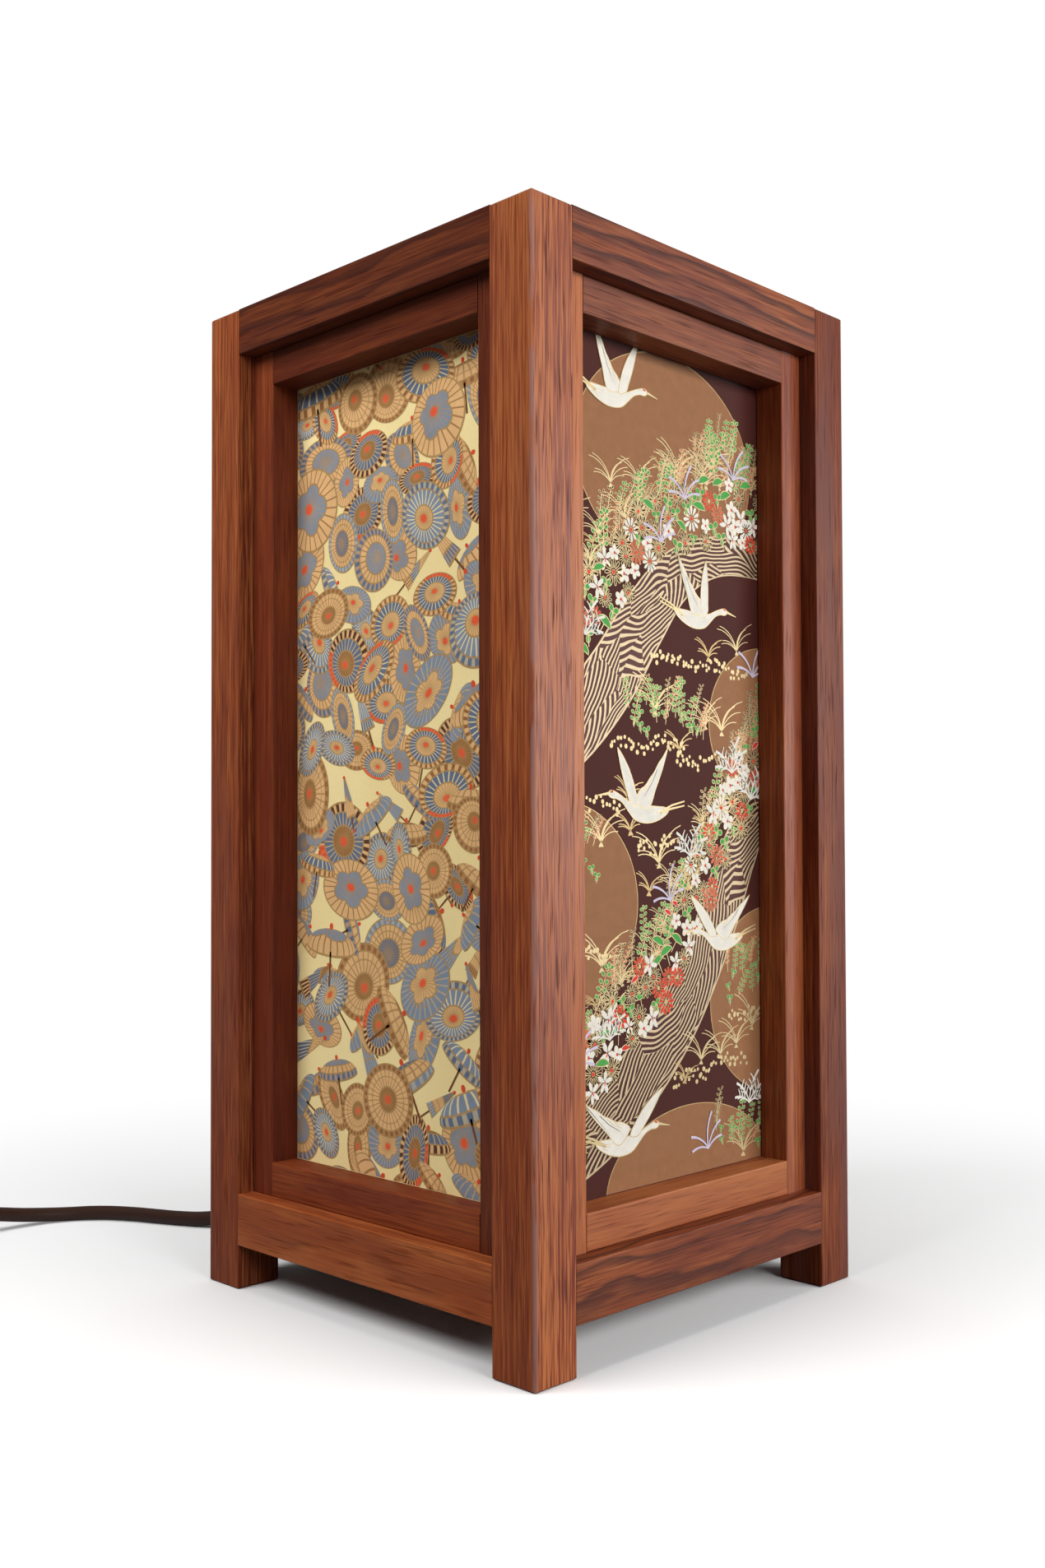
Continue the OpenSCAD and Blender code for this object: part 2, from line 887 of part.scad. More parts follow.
// Places a piece of the switch, whose lead runs along X at half its height
module at_switch() {
    translate([switch_at[0], switch_at[1], 0])
        rotate([0, 0, switch_turn])
            children();
}

// The whole case: a pillow with a tapered nose at each end
module switch_case() {
    mid = switch_h / 2;
    intersection() {
        linear_extrude(switch_h)
            eased_rect(switch_body_l, switch_w, switch_corner);
        translate([0, 0, mid])
            bar(switch_body_l, switch_w, switch_h, switch_ease);
    }
    for (end = [-1, 1])
        translate([end * (switch_body_l / 2 - 1), 0, mid])
            rotate([0, end * 90, 0])
                cylinder(r1 = switch_root_r, r2 = switch_nose_r, h = switch_nose_l + 1);
}

// Well that the rocker tilts in
module rocker_well(floor_z) {
    x = rocker_l / 2 + rocker_hole_room_x;
    y = rocker_w / 2 + rocker_hole_room_y;
    box([-x, -y, floor_z], [x, y, switch_h + 1]);
}

module at_switch_screws(z) {
    for (hand = [-1, 1])
        translate([hand * switch_screw_at[0], hand * switch_screw_at[1], z])
            children();
}

module switch_screw_holes() {
    at_switch_screws(-1)
        cylinder(d = switch_screw_head_d + 0.4, h = switch_screw_sink + 3);
    at_switch_screws(0)
        cylinder(d = switch_screw_d + 0.2, h = switch_screw_l + switch_screw_sink + 0.5);
}

module switch_base() {
    color(lead_brown)
        at_switch()
            difference() {
                intersection() {
                    switch_case();
                    box([-switch_l, -switch_w, 0], [switch_l, switch_w, switch_h / 2]);
                }
                rocker_well(rocker_floor_z);
                switch_screw_holes();
            }
}

module switch_cover() {
    socket_l = rocker_w + 2 * (pin_l + pin_end_room);
    color(lead_brown)
        at_switch()
            difference() {
                intersection() {
                    switch_case();
                    box([-switch_l, -switch_w, switch_h / 2], [switch_l, switch_w, switch_h]);
                }
                rocker_well(rocker_floor_z);
                translate([0, socket_l / 2, rocker_pivot_z])
                    rotate([90, 0, 0])
                        cylinder(d = rocker_pin_d + 2 * pin_room, h = socket_l);
                switch_screw_holes();
            }
}

// Rocker with a shallow V on top, tilted to its off side, on two pivot pins
module switch_rocker() {
    half = rocker_l / 2;
    rise_end = rocker_rise + half * tan(rocker_tilt);
    belly = 5.5;
    color("#241814")
        at_switch()
            translate([0, 0, rocker_pivot_z])
                rotate([0, -rocker_tilt, 0]) {
                    translate([0, rocker_w / 2, 0])
                        rotate([90, 0, 0])
                            linear_extrude(rocker_w)
                                polygon([
                                    [-half, rise_end], [0, rocker_rise], [half, rise_end], [half, 0],
                                    [half / 2, -belly], [-half / 2, -belly], [-half, 0]
                                ]);
                    translate([0, rocker_w / 2 + pin_l, 0])
                        rotate([90, 0, 0])
                            cylinder(d = rocker_pin_d, h = rocker_w + 2 * pin_l);
                }
}

module switch_screws() {
    color(steel)
        at_switch()
            at_switch_screws(switch_screw_sink) {
                cylinder(d = switch_screw_head_d, h = 2);
                translate([0, 0, 1])
                    cylinder(d = switch_screw_d, h = switch_screw_l - 1);
            }
}

// Places a piece of the plug, whose lead comes in at the origin and runs on along X
module at_plug() {
    translate(plug_mouth)
        rotate([0, 0, coil_end + 90])
            children();
}

module plug_blade(grown) {
    z = blade_h / 2 + grown;
    from = plug_l - blade_inside - grown;
    tip = plug_l + blade_l;
    rotate([90, 0, 0])
        translate([0, 0, -blade_t / 2 - grown])
            linear_extrude(blade_t + 2 * grown)
                polygon([
                    [from, -z], [tip - blade_chamfer, -z], [tip, -z + blade_chamfer],
                    [tip, z - blade_chamfer], [tip - blade_chamfer, z], [from, z]
                ]);
}

module both_blades(grown) {
    for (hand = [-1, 1])
        translate([0, hand * blade_pitch / 2, 0])
            plug_blade(grown);
}

// Grooves across the top and bottom of the plug, for the fingers that pull it
module plug_grip_grooves(middle) {
    for (i = [0:grip_grooves - 1], z = [-1, 1])
        translate([middle + grip_pitch * (i - (grip_grooves - 1) / 2), 0, z * plug_h / 2])
            cube([grip_groove_w, plug_w + 1, 2 * grip_groove_depth], center = true);
}

module plug_body() {
    grip_l = plug_l - plug_nose_l;
    color(lead_brown)
        at_plug()
            difference() {
                union() {
                    rotate([0, 90, 0])
                        cylinder(r1 = plug_nose_r, r2 = plug_root_r, h = plug_nose_l + 1);
                    intersection() {
                        translate([plug_nose_l + grip_l / 2, 0, -plug_h / 2])
                            linear_extrude(plug_h)
                                eased_rect(grip_l, plug_w, plug_ease);
                        translate([plug_nose_l + grip_l / 2, 0, 0])
                            bar(grip_l, plug_w, plug_h, plug_ease);
                    }
                }
                both_blades(blade_room);
                plug_grip_grooves(plug_nose_l + grip_l / 2);
            }
}

module plug_blades() {
    color(brass)
        at_plug()
            both_blades(0);
}

post(front_turn);  // front_left_post
post(right_turn);  // front_right_post
post(back_turn);  // back_right_post
post(left_turn);  // back_left_post
top_rail(front_turn);  // front_top_rail
top_rail(right_turn);  // right_top_rail
top_rail(back_turn);  // back_top_rail
top_rail(left_turn);  // left_top_rail
bottom_rail(front_turn);  // front_bottom_rail
cleated_bottom_rail(right_turn);  // right_bottom_rail
back_bottom_rail();
cleated_bottom_rail(left_turn);  // left_bottom_rail
stile(front_turn, -1);  // front_sash_left_stile
stile(right_turn, -1);  // right_sash_left_stile
stile(back_turn, -1);  // back_sash_left_stile
stile(left_turn, -1);  // left_sash_left_stile
stile(front_turn, 1);  // front_sash_right_stile
stile(right_turn, 1);  // right_sash_right_stile
stile(back_turn, 1);  // back_sash_right_stile
stile(left_turn, 1);  // left_sash_right_stile
sash_rail(front_turn, opening_high, sash_top);  // front_sash_top_rail
sash_rail(right_turn, opening_high, sash_top);  // right_sash_top_rail
sash_rail(back_turn, opening_high, sash_top);  // back_sash_top_rail
sash_rail(left_turn, opening_high, sash_top);  // left_sash_top_rail
sash_rail(front_turn, rail_top, opening_low);  // front_sash_bottom_rail
sash_rail(right_turn, rail_top, opening_low);  // right_sash_bottom_rail
sash_rail(back_turn, rail_top, opening_low);  // back_sash_bottom_rail
sash_rail(left_turn, rail_top, opening_low);  // left_sash_bottom_rail
paper(front_turn);  // front_paper
paper(right_turn);  // right_paper
paper(back_turn);  // back_paper
paper(left_turn);  // left_paper
paper_beads(front_turn);  // front_paper_beads
paper_beads(right_turn);  // right_paper_beads
paper_beads(back_turn);  // back_paper_beads
paper_beads(left_turn);  // left_paper_beads
base_board();
cleat(-1);  // left_cleat
cleat(1);  // right_cleat
board_screws();
cleat_screws();
lampholder_body();
lampholder_sleeve();
lampholder_contact();
lampholder_screws();
bulb_glass();
bulb_cap();
strain_relief();
inner_lead();
lamp_cord();
coil_lead();
cord_coil();
plug_lead();
switch_base();
switch_cover();
switch_rocker();
switch_screws();
plug_body();
plug_blades();
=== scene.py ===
"""Looks of a square wooden table lamp with printed papers, laid out as an add-on and run as a script."""

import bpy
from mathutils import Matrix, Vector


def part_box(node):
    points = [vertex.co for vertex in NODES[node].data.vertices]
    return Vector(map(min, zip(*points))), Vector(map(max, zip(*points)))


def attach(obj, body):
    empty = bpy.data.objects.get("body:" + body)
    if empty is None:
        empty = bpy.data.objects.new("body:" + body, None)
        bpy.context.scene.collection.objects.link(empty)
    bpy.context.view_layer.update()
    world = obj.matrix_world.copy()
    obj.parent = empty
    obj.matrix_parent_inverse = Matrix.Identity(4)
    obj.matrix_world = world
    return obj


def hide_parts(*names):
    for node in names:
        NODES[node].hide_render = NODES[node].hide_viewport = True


bl_info = {
    "name": "Wooden Table Lamp",
    "version": (1, 0, 0),
    "blender": (4, 5, 0),
    "location": "View3D > Sidebar > Lamp",
    "description": "Wood, printed papers, bulb, lead, switch and plug of a square table lamp",
    "category": "Object",
}

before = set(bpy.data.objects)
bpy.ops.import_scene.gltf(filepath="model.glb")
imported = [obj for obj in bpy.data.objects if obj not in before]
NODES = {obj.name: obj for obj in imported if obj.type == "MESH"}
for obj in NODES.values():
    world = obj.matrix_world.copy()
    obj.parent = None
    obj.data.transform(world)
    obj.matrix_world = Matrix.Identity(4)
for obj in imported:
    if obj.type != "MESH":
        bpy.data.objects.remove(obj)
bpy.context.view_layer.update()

import math
import random

import bmesh
import bpy
from mathutils import Matrix, Vector

MM = 0.001
SIDE_TURNS = {"front": 0.0, "right": 90.0, "back": 180.0, "left": 270.0}

# Distances from the lamp's middle, in metres, between which a paper turns from its backing to its face, and
# between which the flank of a post begins
BACKING = (0.07035, 0.0706)
FLANK = (0.0885, 0.0895)
# Heights, in metres, between which the painted shade at the foot of a piece fades out
FOOT_SHADE_FADE = (0.12, 0.3)
# Half the lamp's width, and the distance of most hearts from the middle of their piece, in metres
HALF_WIDTH = 0.09
HEART_AWAY = 0.08

# Places that the part's source gives, in millimetres
PAPER_PLANE = 70.7
OPENING_HALF = 57.6
OPENING_LOW = 50.1
OPENING_HIGH = 352.7
LEAD_D = 6.3
LEAD_Z = 26.1
SWITCH_AT = (-166.0, 222.0)
ROCKER_PIVOT_Z = 12.5
# Slope of each half of the rocker in degrees, height of its middle over the pivot, and distance of a mark
# from its middle
ROCKER_SLOPE = 8
ROCKER_TOP = 5.02
MARK_AT = 5.4
# Heights of the lowest print over the paper, and of the motifs that lie over the land
GROUND_LIFT = 0.02
LAND_LIFT = 0.08
COIL_AT = (-218.0, 160.0)
COIL_R = 47.0
COIL_PITCH = 6.9
COIL_TURNS = 6.18
COIL_START = 135.0


def srgb(red, green, blue):
    """Linear colour of three values from 0 to 255."""
    return tuple(
        v / 255 / 12.92 if v <= 10 else ((v / 255 + 0.055) / 1.055) ** 2.4 for v in (red, green, blue)
    )


# ---- Settings ----


def colour(name, about, default):
    return bpy.props.FloatVectorProperty(
        name=name, description=about, subtype="COLOR", size=3, min=0.0, max=1.0, default=default
    )


def amount(name, about, default, low=0.0, high=None, **kind):
    """Setting of one number between its limits."""
    if high is not None:
        kind["max"] = high
    return bpy.props.FloatProperty(name=name, description=about, default=default, min=low, **kind)


class WoodSettings(bpy.types.PropertyGroup):
    """Colour and figure of the wood"""

    light: colour("Light grain", "Pale threads between the pores", srgb(170, 99, 55))
    warm: colour("Warm grain", "Main colour of the wood", srgb(140, 69, 35))
    deep: colour("Deep grain", "Darker patches", srgb(106, 44, 25))
    dark: colour("Dark grain", "Dark bands of late wood", srgb(58, 24, 19))
    pore: colour("Pores", "Open pores that hold dark oil", srgb(66, 27, 19))
    plum: colour("Plum cast", "Cooler patches of the wood", srgb(116, 66, 55))
    # Partly real wear and partly a painted highlight along the rounded outer arris of a post
    worn: colour("Worn edge", "Rubbed outer edge of a post", srgb(142, 104, 96))
    thread_pitch: amount(
        "Thread pitch", "Distance between the fine threads of the grain", 0.0011, 0.0005, 0.005, unit="LENGTH"
    )
    gloss_roughness: amount("Roughness", "Roughness of the oiled face", 0.5, 0.1, 1.0, subtype="FACTOR")


class PaperSettings(bpy.types.PropertyGroup):
    """Colours and print of the papers"""

    cream: colour("Cream ground", "Ground of the parasol papers", srgb(255, 233, 170))
    aubergine: colour("Aubergine ground", "Ground of the crane papers", srgb(68, 33, 28))
    hill: colour("Hills", "Tan hills of the crane papers", srgb(140, 97, 66))
    gold: colour("Gold lines", "Gold printing ink of the crane papers", srgb(184, 164, 122))
    bronze: colour("Bronze lines", "Gold printing ink of the parasol papers", srgb(182, 144, 90))
    backing: colour("Backing", "Pale backing on the inside of the papers", srgb(226, 214, 188))
    lift: amount(
        "Lift", "Height of one printed layer over the next", 0.000011, 0.000005, 0.00005, unit="LENGTH"
    )
    parasol_size: amount(
        "Parasol radius", "Mean radius of an open parasol", 0.0132, 0.006, 0.02, unit="LENGTH"
    )
    seed: bpy.props.IntProperty(
        name="Seed", description="Layout of the printed motifs", default=7, min=0, max=999
    )


class LeadSettings(bpy.types.PropertyGroup):
    """Colours of the lead, switch and plug"""

    sheath: colour("Sheath", "Flexible sheath of the lead", srgb(50, 29, 21))
    moulded: colour("Mouldings", "Switch, plug and strain relief", srgb(50, 30, 22))


class StageSettings(bpy.types.PropertyGroup):
    """Floor and lights"""

    floor: colour("Floor", "Colour of the floor", (0.90, 0.90, 0.90))
    bounce: amount(
        "Bounce", "Share of light that the floor throws back at the lamp", 0.1, 0.0, 1.0, subtype="FACTOR"
    )
    key: amount("Key", "Power of the soft light on the front", 20.0, unit="POWER")
    sheen: amount("Sheen", "Power of the light that only shows as a sheen on the front", 12.0, unit="POWER")
    fill: amount("Fill", "Power of the soft light on the left side", 8.4, unit="POWER")
    top: amount("Top", "Power of the soft light from above", 10.0, unit="POWER")
    around: amount("Around", "Light from all round", 0.11, 0.0, 2.0)
    mirrored: amount(
        "Mirrored", "Brightness of the white surroundings in a reflection", 0.3, 0.0, 1.0, subtype="FACTOR"
    )


# ---- Nodes ----


def maths(operation, swapped=False):
    """Method that joins a value and another one by a maths node."""

    def method(self, other=0.0):
        first, second = (other, self) if swapped else (self, other)
        return self.net.node("ShaderNodeMath", {"operation": operation}, {0: first, 1: second})

    return method


class Value:
    """Output of a shader node that takes part in Python arithmetic."""

    def __init__(self, net, socket):
        self.net = net
        self.socket = socket

    __add__, __radd__ = maths("ADD"), maths("ADD", True)
    __sub__, __rsub__ = maths("SUBTRACT"), maths("SUBTRACT", True)
    __mul__, __rmul__ = maths("MULTIPLY"), maths("MULTIPLY", True)
    __truediv__, __mod__, __pow__ = maths("DIVIDE"), maths("FLOORED_MODULO"), maths("POWER")
    __abs__, larger, sine, angle = maths("ABSOLUTE"), maths("MAXIMUM"), maths("SINE"), maths("ARCTAN2")


class Net:
    """A node tree that is built in the script."""

    def __init__(self, tree):
        self.tree = tree

    def node(self, kind, settings=None, inputs=None, output=0):
        """Adds a node: its settings first, then the values or links of its sockets."""
        made = self.tree.nodes.new(kind)
        for key, value in (settings or {}).items():
            if key == "stops":
                ramp = made.color_ramp
                while len(ramp.elements) < len(value):
                    ramp.elements.new(1.0)
                for stop, (place, shade) in zip(ramp.elements, value):
                    stop.position = place
                    stop.color = (*shade, 1.0) if hasattr(shade, "__len__") else (shade, shade, shade, 1.0)
            elif key == "interpolation" and kind == "ShaderNodeValToRGB":
                made.color_ramp.interpolation = value
            else:
                setattr(made, key, value)
        for key, value in (inputs or {}).items():
            if isinstance(value, Value):
                self.tree.links.new(value.socket, made.inputs[key])
            else:
                made.inputs[key].default_value = value
        return Value(self, made.outputs[output])


class Finish(Net):
    """A material with one Principled shader."""

    def __init__(self, name, **constants):
        self.material = bpy.data.materials.new(name)
        self.material.use_nodes = True
        super().__init__(self.material.node_tree)
        self.tree.nodes.clear()
        self.shader = self.tree.nodes.new("ShaderNodeBsdfPrincipled")
        self.out = self.tree.nodes.new("ShaderNodeOutputMaterial")
        self.tree.links.new(self.shader.outputs[0], self.out.inputs[0])
        for key, value in constants.items():
            self.shader.inputs[key.replace("_", " ")].default_value = value

    def set(self, socket, value):
        if isinstance(value, Value):
            self.tree.links.new(value.socket, self.shader.inputs[socket])
        else:
            self.shader.inputs[socket].default_value = value

    def place(self):
        return self.node("ShaderNodeTexCoord", output="Object")

    def attribute(self, name, output="Fac"):
        return self.node("ShaderNodeAttribute", {"attribute_name": name}, output=output)

    def parts(self, vector):
        split = self.node("ShaderNodeSeparateXYZ", inputs={0: vector}).socket.node
        return [Value(self, socket) for socket in split.outputs]

    def join(self, x, y, z):
        return self.node("ShaderNodeCombineXYZ", inputs={0: x, 1: y, 2: z})

    def noise(self, vector, scale, detail=2.0, roughness=0.5):
        return self.node("ShaderNodeTexNoise", inputs={
            "Vector": vector, "Scale": scale, "Detail": detail, "Roughness": roughness,
        })

    def ramp(self, value, stops, interpolation="LINEAR"):
        return self.node(
            "ShaderNodeValToRGB", {"stops": stops, "interpolation": interpolation}, {0: value}
        )

    def mix(self, share, first, second, blend="MIX"):
        """Colour between two colours."""
        first, second = (c if isinstance(c, Value) else (*c, 1.0) for c in (first, second))
        settings = {"data_type": "RGBA", "blend_type": blend}
        return self.node("ShaderNodeMix", settings, {0: share, 6: first, 7: second}, output=2)

    def shade(self, tint, value):
        """Colour times a number."""
        return self.mix(1.0, tint, value, "MULTIPLY")

    def step(self, value, low, high):
        """Smooth step from 0 at low to 1 at high."""
        return self.node(
            "ShaderNodeMapRange", {"interpolation_type": "SMOOTHSTEP"},
            {0: value, 1: low, 2: high, 3: 0.0, 4: 1.0},
        )

    def bump(self, height, strength, distance):
        self.set("Normal", self.node(
            "ShaderNodeBump", inputs={"Height": height, "Strength": strength, "Distance": distance}
        ))


def give(node_names, material):
    """Puts a material on carried-over CAD nodes."""
    for name in node_names:
        slots = NODES[name].data.materials
        slots.clear()
        slots.append(material)


def wood_finish(name, along, middle, span, seed, heart, tone=0.0, plum=0.3, bands=0.12, band_pitch=0.004,
                bend=0.003, threads=0.7, dim=1.0, polish=0.13, worn=None, foot=0.0):
    """Oiled open-grained wood: fine threads, short dark pores, cloudy patches and bands of late wood, with
    painted shade towards the foot of some pieces and a worn edge that also paints a highlight.
    """
    wood = bpy.context.scene.lamp_wood
    f = Finish(name, Specular_IOR_Level=polish)
    x, y, z = f.parts(f.place())
    dx, dy, dz = x - middle[0], y - middle[1], z - middle[2]
    a, b, c = {"x": (dy, dz, dx), "y": (dz, dx, dy), "z": (dx, dy, dz)}[along]
    end = abs(c) / (span["xyz".index(along)] / 2)
    a, b, c = a + seed * 0.137, b + seed * 0.091, c + seed * 0.211
    fine = 1.1 / wood.thread_pitch
    sway = f.noise(f.join(a * 0.5, b * 0.5, c), 11.0, 2.0) - 0.5
    ripple = f.noise(f.join(a, b, c * 0.3), 90.0, 3.0) - 0.5
    thread = f.noise(f.join(a, b, c * 0.014), fine, 2.0, 0.6)
    strand = f.noise(f.join(a, b, c * 0.03), fine * 2.1, 1.0)
    cloud = f.noise(f.join(a, b, c * 0.22), 70.0, 3.0, 0.55)
    pores = f.step(f.noise(f.join(a, b, c * 0.038), fine * 1.35, 1.0), 0.585, 0.7)
    a, b = a - heart[0] - seed * 0.137, b - heart[1] - seed * 0.091
    radius = (a ** 2.0 + b ** 2.0) ** 0.5 + sway * bend * 2.2 + ripple * bend * 0.5
    rings = [(0.0, 0.35), (0.1, 0.0), (0.5, 0.1), (0.8, 0.75), (0.93, 1.0), (1.0, 0.35)]
    late = f.ramp((radius / band_pitch) % 1.0, rings)
    figure = (thread - 0.5) * threads + (strand - 0.5) * threads * 0.8 + (cloud - 0.5) * 0.75
    open_pores = 0.3 + 0.24 * min(threads, 2.0)
    # Painted shade: darker at the foot and lighter at the top, the other way round when negative; on posts
    # only on the flank
    if foot:
        painted_shade = foot * (0.75 - f.step(z, *FOOT_SHADE_FADE))
        if worn:
            flank = f.step(abs(x), *FLANK)
            painted_shade = painted_shade * flank
            figure = figure * (1.0 - flank * 0.45)
            open_pores = open_pores * (1.0 - flank * 0.4)
        figure = figure - painted_shade
    tint = f.ramp(0.5 + tone + figure, [(0.2, wood.deep), (0.5, wood.warm), (0.8, wood.light)])
    patches = f.step(f.noise(f.join(a, b, c * 0.12), 70.0, 2.0), 0.4, 0.66)
    tint = f.mix(patches * plum, tint, wood.plum)
    banded = f.step(cloud, 0.36 - 0.16 * bands, 0.62 - 0.12 * bands)
    tint = f.mix(late * banded * bands, tint, wood.dark)
    tint = f.mix(pores * open_pores, tint, wood.pore)
    # Worn edge along the post's outer arris: partly real wear, partly a painted highlight of the rounded edge
    if worn:
        rub_and_glint = f.noise(f.join(x, y, z * 0.12), 420.0, 2.0)
        edge = 1.0 - f.step(((x - worn[0]) ** 2.0 + (y - worn[1]) ** 2.0) ** 0.5, 0.0006, 0.0019)
        tint = f.mix(edge * f.step(rub_and_glint, 0.3, 0.55) * 0.75, tint, wood.worn)
    tint = f.shade(tint, dim - f.step(end, 0.997, 0.999) * 0.4 * dim)
    f.set("Base Color", tint)
    f.set("Roughness", wood.gloss_roughness + pores * 0.2 + (thread - 0.5) * 0.3)
    f.bump(thread * 0.5 + strand * 0.25 - pores * 0.6 - late * 0.1, 0.3, 0.00016)
    return f.material


def plain_finish(name, tint, roughness, speckle=0.1, grain=900.0, bump=0.15, depth=0.0001, **constants):
    """Moulded or cast surface with a slightly uneven colour, roughness and skin."""
    f = Finish(name, **constants)
    place = f.place()
    broad = f.noise(place, 60.0, 2.0)
    fine = f.noise(place, grain, 2.0)
    f.set("Base Color", f.shade(tint, 1.0 + (broad - 0.5) * speckle * 2.0 + (fine - 0.5) * speckle))
    f.set("Roughness", roughness + (broad - 0.5) * 0.12 + (fine - 0.5) * 0.1)
    f.bump(fine, bump, depth)
    return f.material


def metal_finish(name, tint, roughness, speckle, grain, bump):
    return plain_finish(name, tint, roughness, speckle, grain, bump, 0.00004, Metallic=1.0)


# ---- Flat printed shapes ----


def polar(reach, angle):
    return reach * math.cos(angle), reach * math.sin(angle)


def clockwise(points):
    return sum(p[0] * q[1] - q[0] * p[1] for p, q in zip(points, points[1:] + points[:1])) < 0


def aside(before, after, width):
    """Step of a width to the left of the way from one point to another."""
    dx, dy = after[0] - before[0], after[1] - before[1]
    size = math.hypot(dx, dy) or 1.0
    return -dy / size * width, dx / size * width


def note(mesh, label, kind, values):
    """Writes an attribute on the points of a mesh."""
    key = {"FLOAT_COLOR": "color", "FLOAT_VECTOR": "vector"}.get(kind, "value")
    mesh.attributes.new(label, kind, "POINT").data.foreach_set(key, values)


class Sheet:
    """Flat polygons in one mesh, in millimetres, each with its ink."""

    LEVEL_RISE = 0.003

    def __init__(self):
        self.points, self.faces, self.inks, self.spots = [], [], [], []
        self.level = 0

    def polygon(self, points, ink, spots=None, height=None):
        """Adds one flat face at its level, or at a height of its own."""
        if clockwise(points):
            points = points[::-1]
            spots = spots[::-1] if spots else None
        start = len(self.points)
        z = self.LEVEL_RISE * (self.level % 4) if height is None else height
        self.points += [(p[0], p[1], z) for p in points]
        self.inks += [ink] * len(points)
        self.spots += spots or [(0.0, 0.0)] * len(points)
        self.faces.append(range(start, start + len(points)))

    def stroke(self, line, widths, ink):
        """Adds a line of changing width."""
        self.level += 1
        last = len(line) - 1
        edges = []
        for i, p in enumerate(line):
            width = widths[0] + (widths[1] - widths[0]) * i / last
            dx, dy = aside(line[max(i - 1, 0)], line[min(i + 1, last)], width / 2)
            edges.append(((p[0] + dx, p[1] + dy), (p[0] - dx, p[1] - dy)))
        for (a, b), (c, d) in zip(edges, edges[1:]):
            self.polygon([a, b, d, c], ink)

    def outlined(self, outline, ink, edge, width):
        """Adds a filled shape inside a rim of another ink."""
        self.level += 1
        if clockwise(outline):
            outline = outline[::-1]
        count = len(outline)
        inner = []
        for i, p in enumerate(outline):
            dx, dy = aside(outline[i - 1], outline[(i + 1) % count], width)
            inner.append((p[0] + dx, p[1] + dy))
        self.polygon(inner, ink)
        for i in range(count):
            j = (i + 1) % count
            self.polygon([outline[i], outline[j], inner[j], inner[i]], edge)

    def mesh(self, name):
        made = bpy.data.meshes.new(name)
        made.from_pydata([(x * MM, y * MM, z * MM) for x, y, z in self.points], [], self.faces)
        note(made, "ink", "FLOAT_COLOR", [v for ink in self.inks for v in ink])
        note(made, "spot", "FLOAT_VECTOR", [v for u, w in self.spots for v in (u, w, 0.0)])
        return made


def smooth_line(points, steps=6, closed=False):
    """Points of a smooth line through the given ones."""
    count = len(points)
    result = []
    for i in range(count if closed else count - 1):
        if closed:
            four = [points[(i + k - 1) % count] for k in range(4)]
        else:
            four = [points[min(max(i + k - 1, 0), count - 1)] for k in range(4)]
        for s in range(steps):
            t = s / steps
            result.append(tuple(
                0.5 * (2 * q + (r - p) * t + (2 * p - 5 * q + 4 * r - s4) * t * t
                       + (3 * q - p - 3 * r + s4) * t ** 3)
                for p, q, r, s4 in zip(*four)
            ))
    if not closed:
        result.append(tuple(points[-1]))
    return result


def oval(x, y, rx, ry, sides=12, turn=0.0):
    """Points of an ellipse."""
    points = []
    for i in range(sides):
        angle = 2 * math.pi * i / sides
        px, py = rx * math.cos(angle), ry * math.sin(angle)
        points.append((
            x + px * math.cos(turn) - py * math.sin(turn), y + px * math.sin(turn) + py * math.cos(turn)
        ))
    return points


def arc(start, angle, length, droop, steps=5):
    """Blade that sets out at an angle and droops."""
    points = [start]
    x, y = start
    for _ in range(steps):
        x += length / steps * math.cos(angle)
        y += length / steps * math.sin(angle)
        angle -= droop / steps * (1 if math.cos(angle) > 0 else -1)
        points.append((x, y))
    return points


# ---- Geometry Nodes ----


def socket_id(tree, name):
    return next(s.identifier for s in tree.interface.items_tree if s.name == name and s.in_out == "INPUT")


def new_tree(name, sockets):
    """Geometry tree with a geometry socket at both ends and named inputs."""
    tree = bpy.data.node_groups.new(name, "GeometryNodeTree")
    tree.interface.new_socket("Geometry", in_out="INPUT", socket_type="NodeSocketGeometry")
    for label, kind in sockets:
        tree.interface.new_socket(label, in_out="INPUT", socket_type=kind)
    tree.interface.new_socket("Geometry", in_out="OUTPUT", socket_type="NodeSocketGeometry")
    return tree


